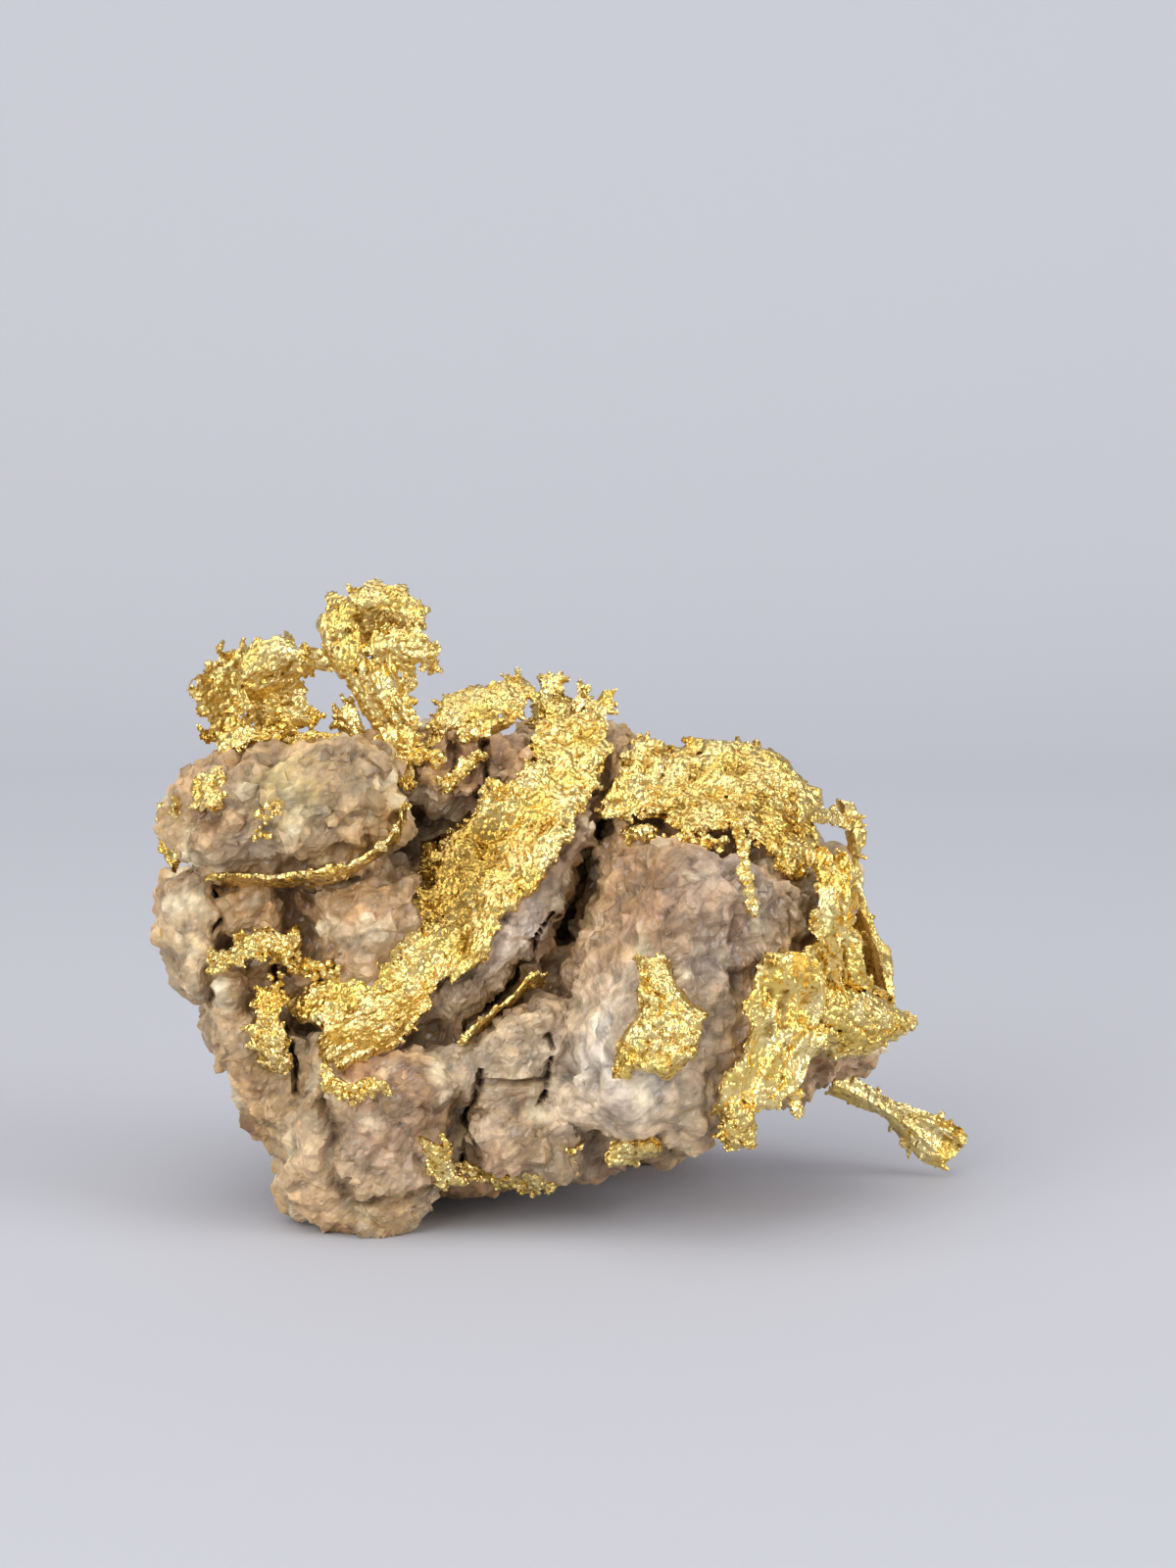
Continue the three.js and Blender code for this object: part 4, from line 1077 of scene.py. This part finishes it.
CLUMPS = {
    "gold_patch_front": (
        [[1.8, -5.0, 7.0], [1.8, -5.2, 6.4], [1.7, -5.4, 5.7], [1.2, -5.4, 5.0], [1.3, -5.6, 4.2]],
        [[2.5, -5.3, 7.1], [2.8, -5.6, 6.4], [3.4, -5.7, 5.8], [3.3, -5.9, 5.0], [2.4, -6.1, 4.2]],
    ),
    "gold_clump_left_edge": (
        [[-10.0, -0.6, 10.1], [-9.9, -1.0, 9.3], [-9.5, -1.6, 8.6]],
        [[-9.4, -1.6, 10.5], [-9.2, -2.0, 9.6], [-9.1, -1.9, 8.8]],
    ),
    "gold_clump_shoulder": (
        [[-9.0, -1.6, 10.7], [-8.9, -2.1, 10.4], [-8.7, -2.6, 10.1]],
        [[-8.3, -1.9, 11.0], [-8.2, -2.4, 10.7], [-8.1, -2.9, 10.3]],
    ),
    "gold_clump_left_low": (
        [[-8.6, -2.4, 6.7], [-8.0, -2.5, 6.9], [-7.4, -2.5, 7.2], [-6.6, -2.4, 7.2]],
        [[-8.4, -2.6, 6.2], [-7.9, -2.8, 6.4], [-7.3, -2.8, 6.5], [-6.7, -2.0, 6.2]],
    ),
    "gold_clump_hip": (
        [[-7.5, -2.6, 5.8], [-7.7, -2.9, 5.1], [-7.9, -2.9, 4.7], [-7.4, -2.9, 4.1], [-7.0, -2.8, 3.7]],
        [[-7.0, -2.6, 5.7], [-7.0, -2.9, 5.1], [-6.8, -3.0, 4.6], [-6.7, -3.0, 4.2], [-6.6, -2.9, 3.8]],
    ),
    "gold_clump_keel_left": (
        [[-3.3, -4.9, 2.4], [-3.2, -4.6, 1.8], [-3.1, -4.4, 1.3]],
        [[-2.8, -4.7, 2.3], [-2.7, -4.4, 1.8], [-2.5, -4.2, 1.4]],
    ),
    "gold_clump_keel_middle": (
        [[-2.0, -3.2, 1.6], [-1.1, -3.5, 1.7], [-0.4, -3.8, 1.9], [0.1, -4.0, 1.9]],
        [[-1.9, -3.0, 1.2], [-1.1, -3.1, 1.0], [-0.4, -3.4, 1.1], [0.0, -3.6, 1.4]],
    ),
    "gold_clump_keel_right": (
        [[1.0, -4.6, 2.4], [1.6, -4.7, 2.5], [2.3, -4.9, 2.7]],
        [[1.2, -4.2, 1.9], [1.7, -4.2, 1.9], [2.3, -4.3, 2.1]],
    ),
    "gold_clump_foot": (
        [[-5.6, -4.7, 4.2], [-5.2, -4.8, 4.0], [-4.9, -4.9, 4.0], [-4.6, -5.0, 4.1]],
        [[-5.6, -4.8, 3.8], [-5.2, -4.9, 3.5], [-4.9, -5.0, 3.5], [-4.4, -5.1, 3.8]],
    ),
}
PATCH = {"bulge": 0.25, "thick": 0.3, "lobe": 0.14, "rag": 0.16, "knot": 0.12, "bead": 0.26, "frill": 0.02}
CLUMP = {"bulge": 0.05, "lobe": 0.26, "rag": 0.24, "knot": 0.07, "bead": 0.2, "frill": 0.08}
# Loose crystals beside some of the clumps: how many, and the line they lie along.
STRAYS = {
    "gold_clump_shoulder": (
        24,
        [[-6.9, -3.3, 10.4], [-7.1, -3.3, 10.3], [-7.2, -3.3, 10.0], [-7.4, -3.3, 9.6]],
    ),
    "gold_clump_left_low": (
        90,
        [[-7.3, -2.7, 7.0], [-6.7, -2.5, 6.6], [-6.3, -2.2, 6.2], [-5.6, -2.4, 6.2]],
    ),
    "gold_clump_hip": (70, [[-7.0, -2.6, 6.0], [-7.1, -2.8, 5.0], [-6.8, -2.9, 4.2]]),
    "gold_clump_foot": (50, [[-5.6, -4.7, 4.1], [-5.2, -4.9, 3.7], [-4.6, -5.0, 3.9]]),
    "gold_clump_keel_middle": (80, [[-2.6, -4.1, 1.6], [-1.4, -3.4, 1.4], [0.2, -4.1, 1.8]]),
}
for order, (node, (left, right)) in enumerate(CLUMPS.items()):
    style = PATCH if node == "gold_patch_front" else CLUMP
    parts = [leaf(left, right, salt=2000 + 50 * order, **style)]
    if node in STRAYS:
        count, line = STRAYS[node]
        parts.append(specks(line, spread=0.2, count=count, size=0.09, salt=2040 + 50 * order))
    gold_piece(node, *parts)

# Seams: the edges of two sheets that still fill the cracks where they grew, one round the shoulder block and
# one in the foot of the main fissure.

SEAMS = {
    "gold_seam_shoulder": (
        [[-8.6, -2.2, 8.5], [-6.6, -3.2, 8.7], [-5.4, -3.3, 8.9], [-4.3, -2.9, 9.6], [-4.0, -2.1, 10.2]],
        [[-8.7, -1.0, 8.1], [-6.6, -1.6, 8.2], [-5.4, -1.8, 8.4], [-4.1, -1.4, 9.2], [-3.8, -0.8, 10.0]],
    ),
    "gold_seam_fissure": (
        [[-2.5, -3.7, 4.8], [-1.7, -3.5, 5.4], [-0.7, -3.2, 6.3]],
        [[-2.3, -2.6, 4.3], [-1.5, -2.4, 5.0], [-0.5, -2.0, 5.9]],
    ),
}
SEAM = {"thick": 0.09, "lobe": 0.2, "rag": 0.16, "fold": 0.08, "foil": 0.05, "frill": 0.06}
for order, (node, (left, right)) in enumerate(SEAMS.items()):
    gold_piece(node, leaf(left, right, salt=3000 + 50 * order, **SEAM))
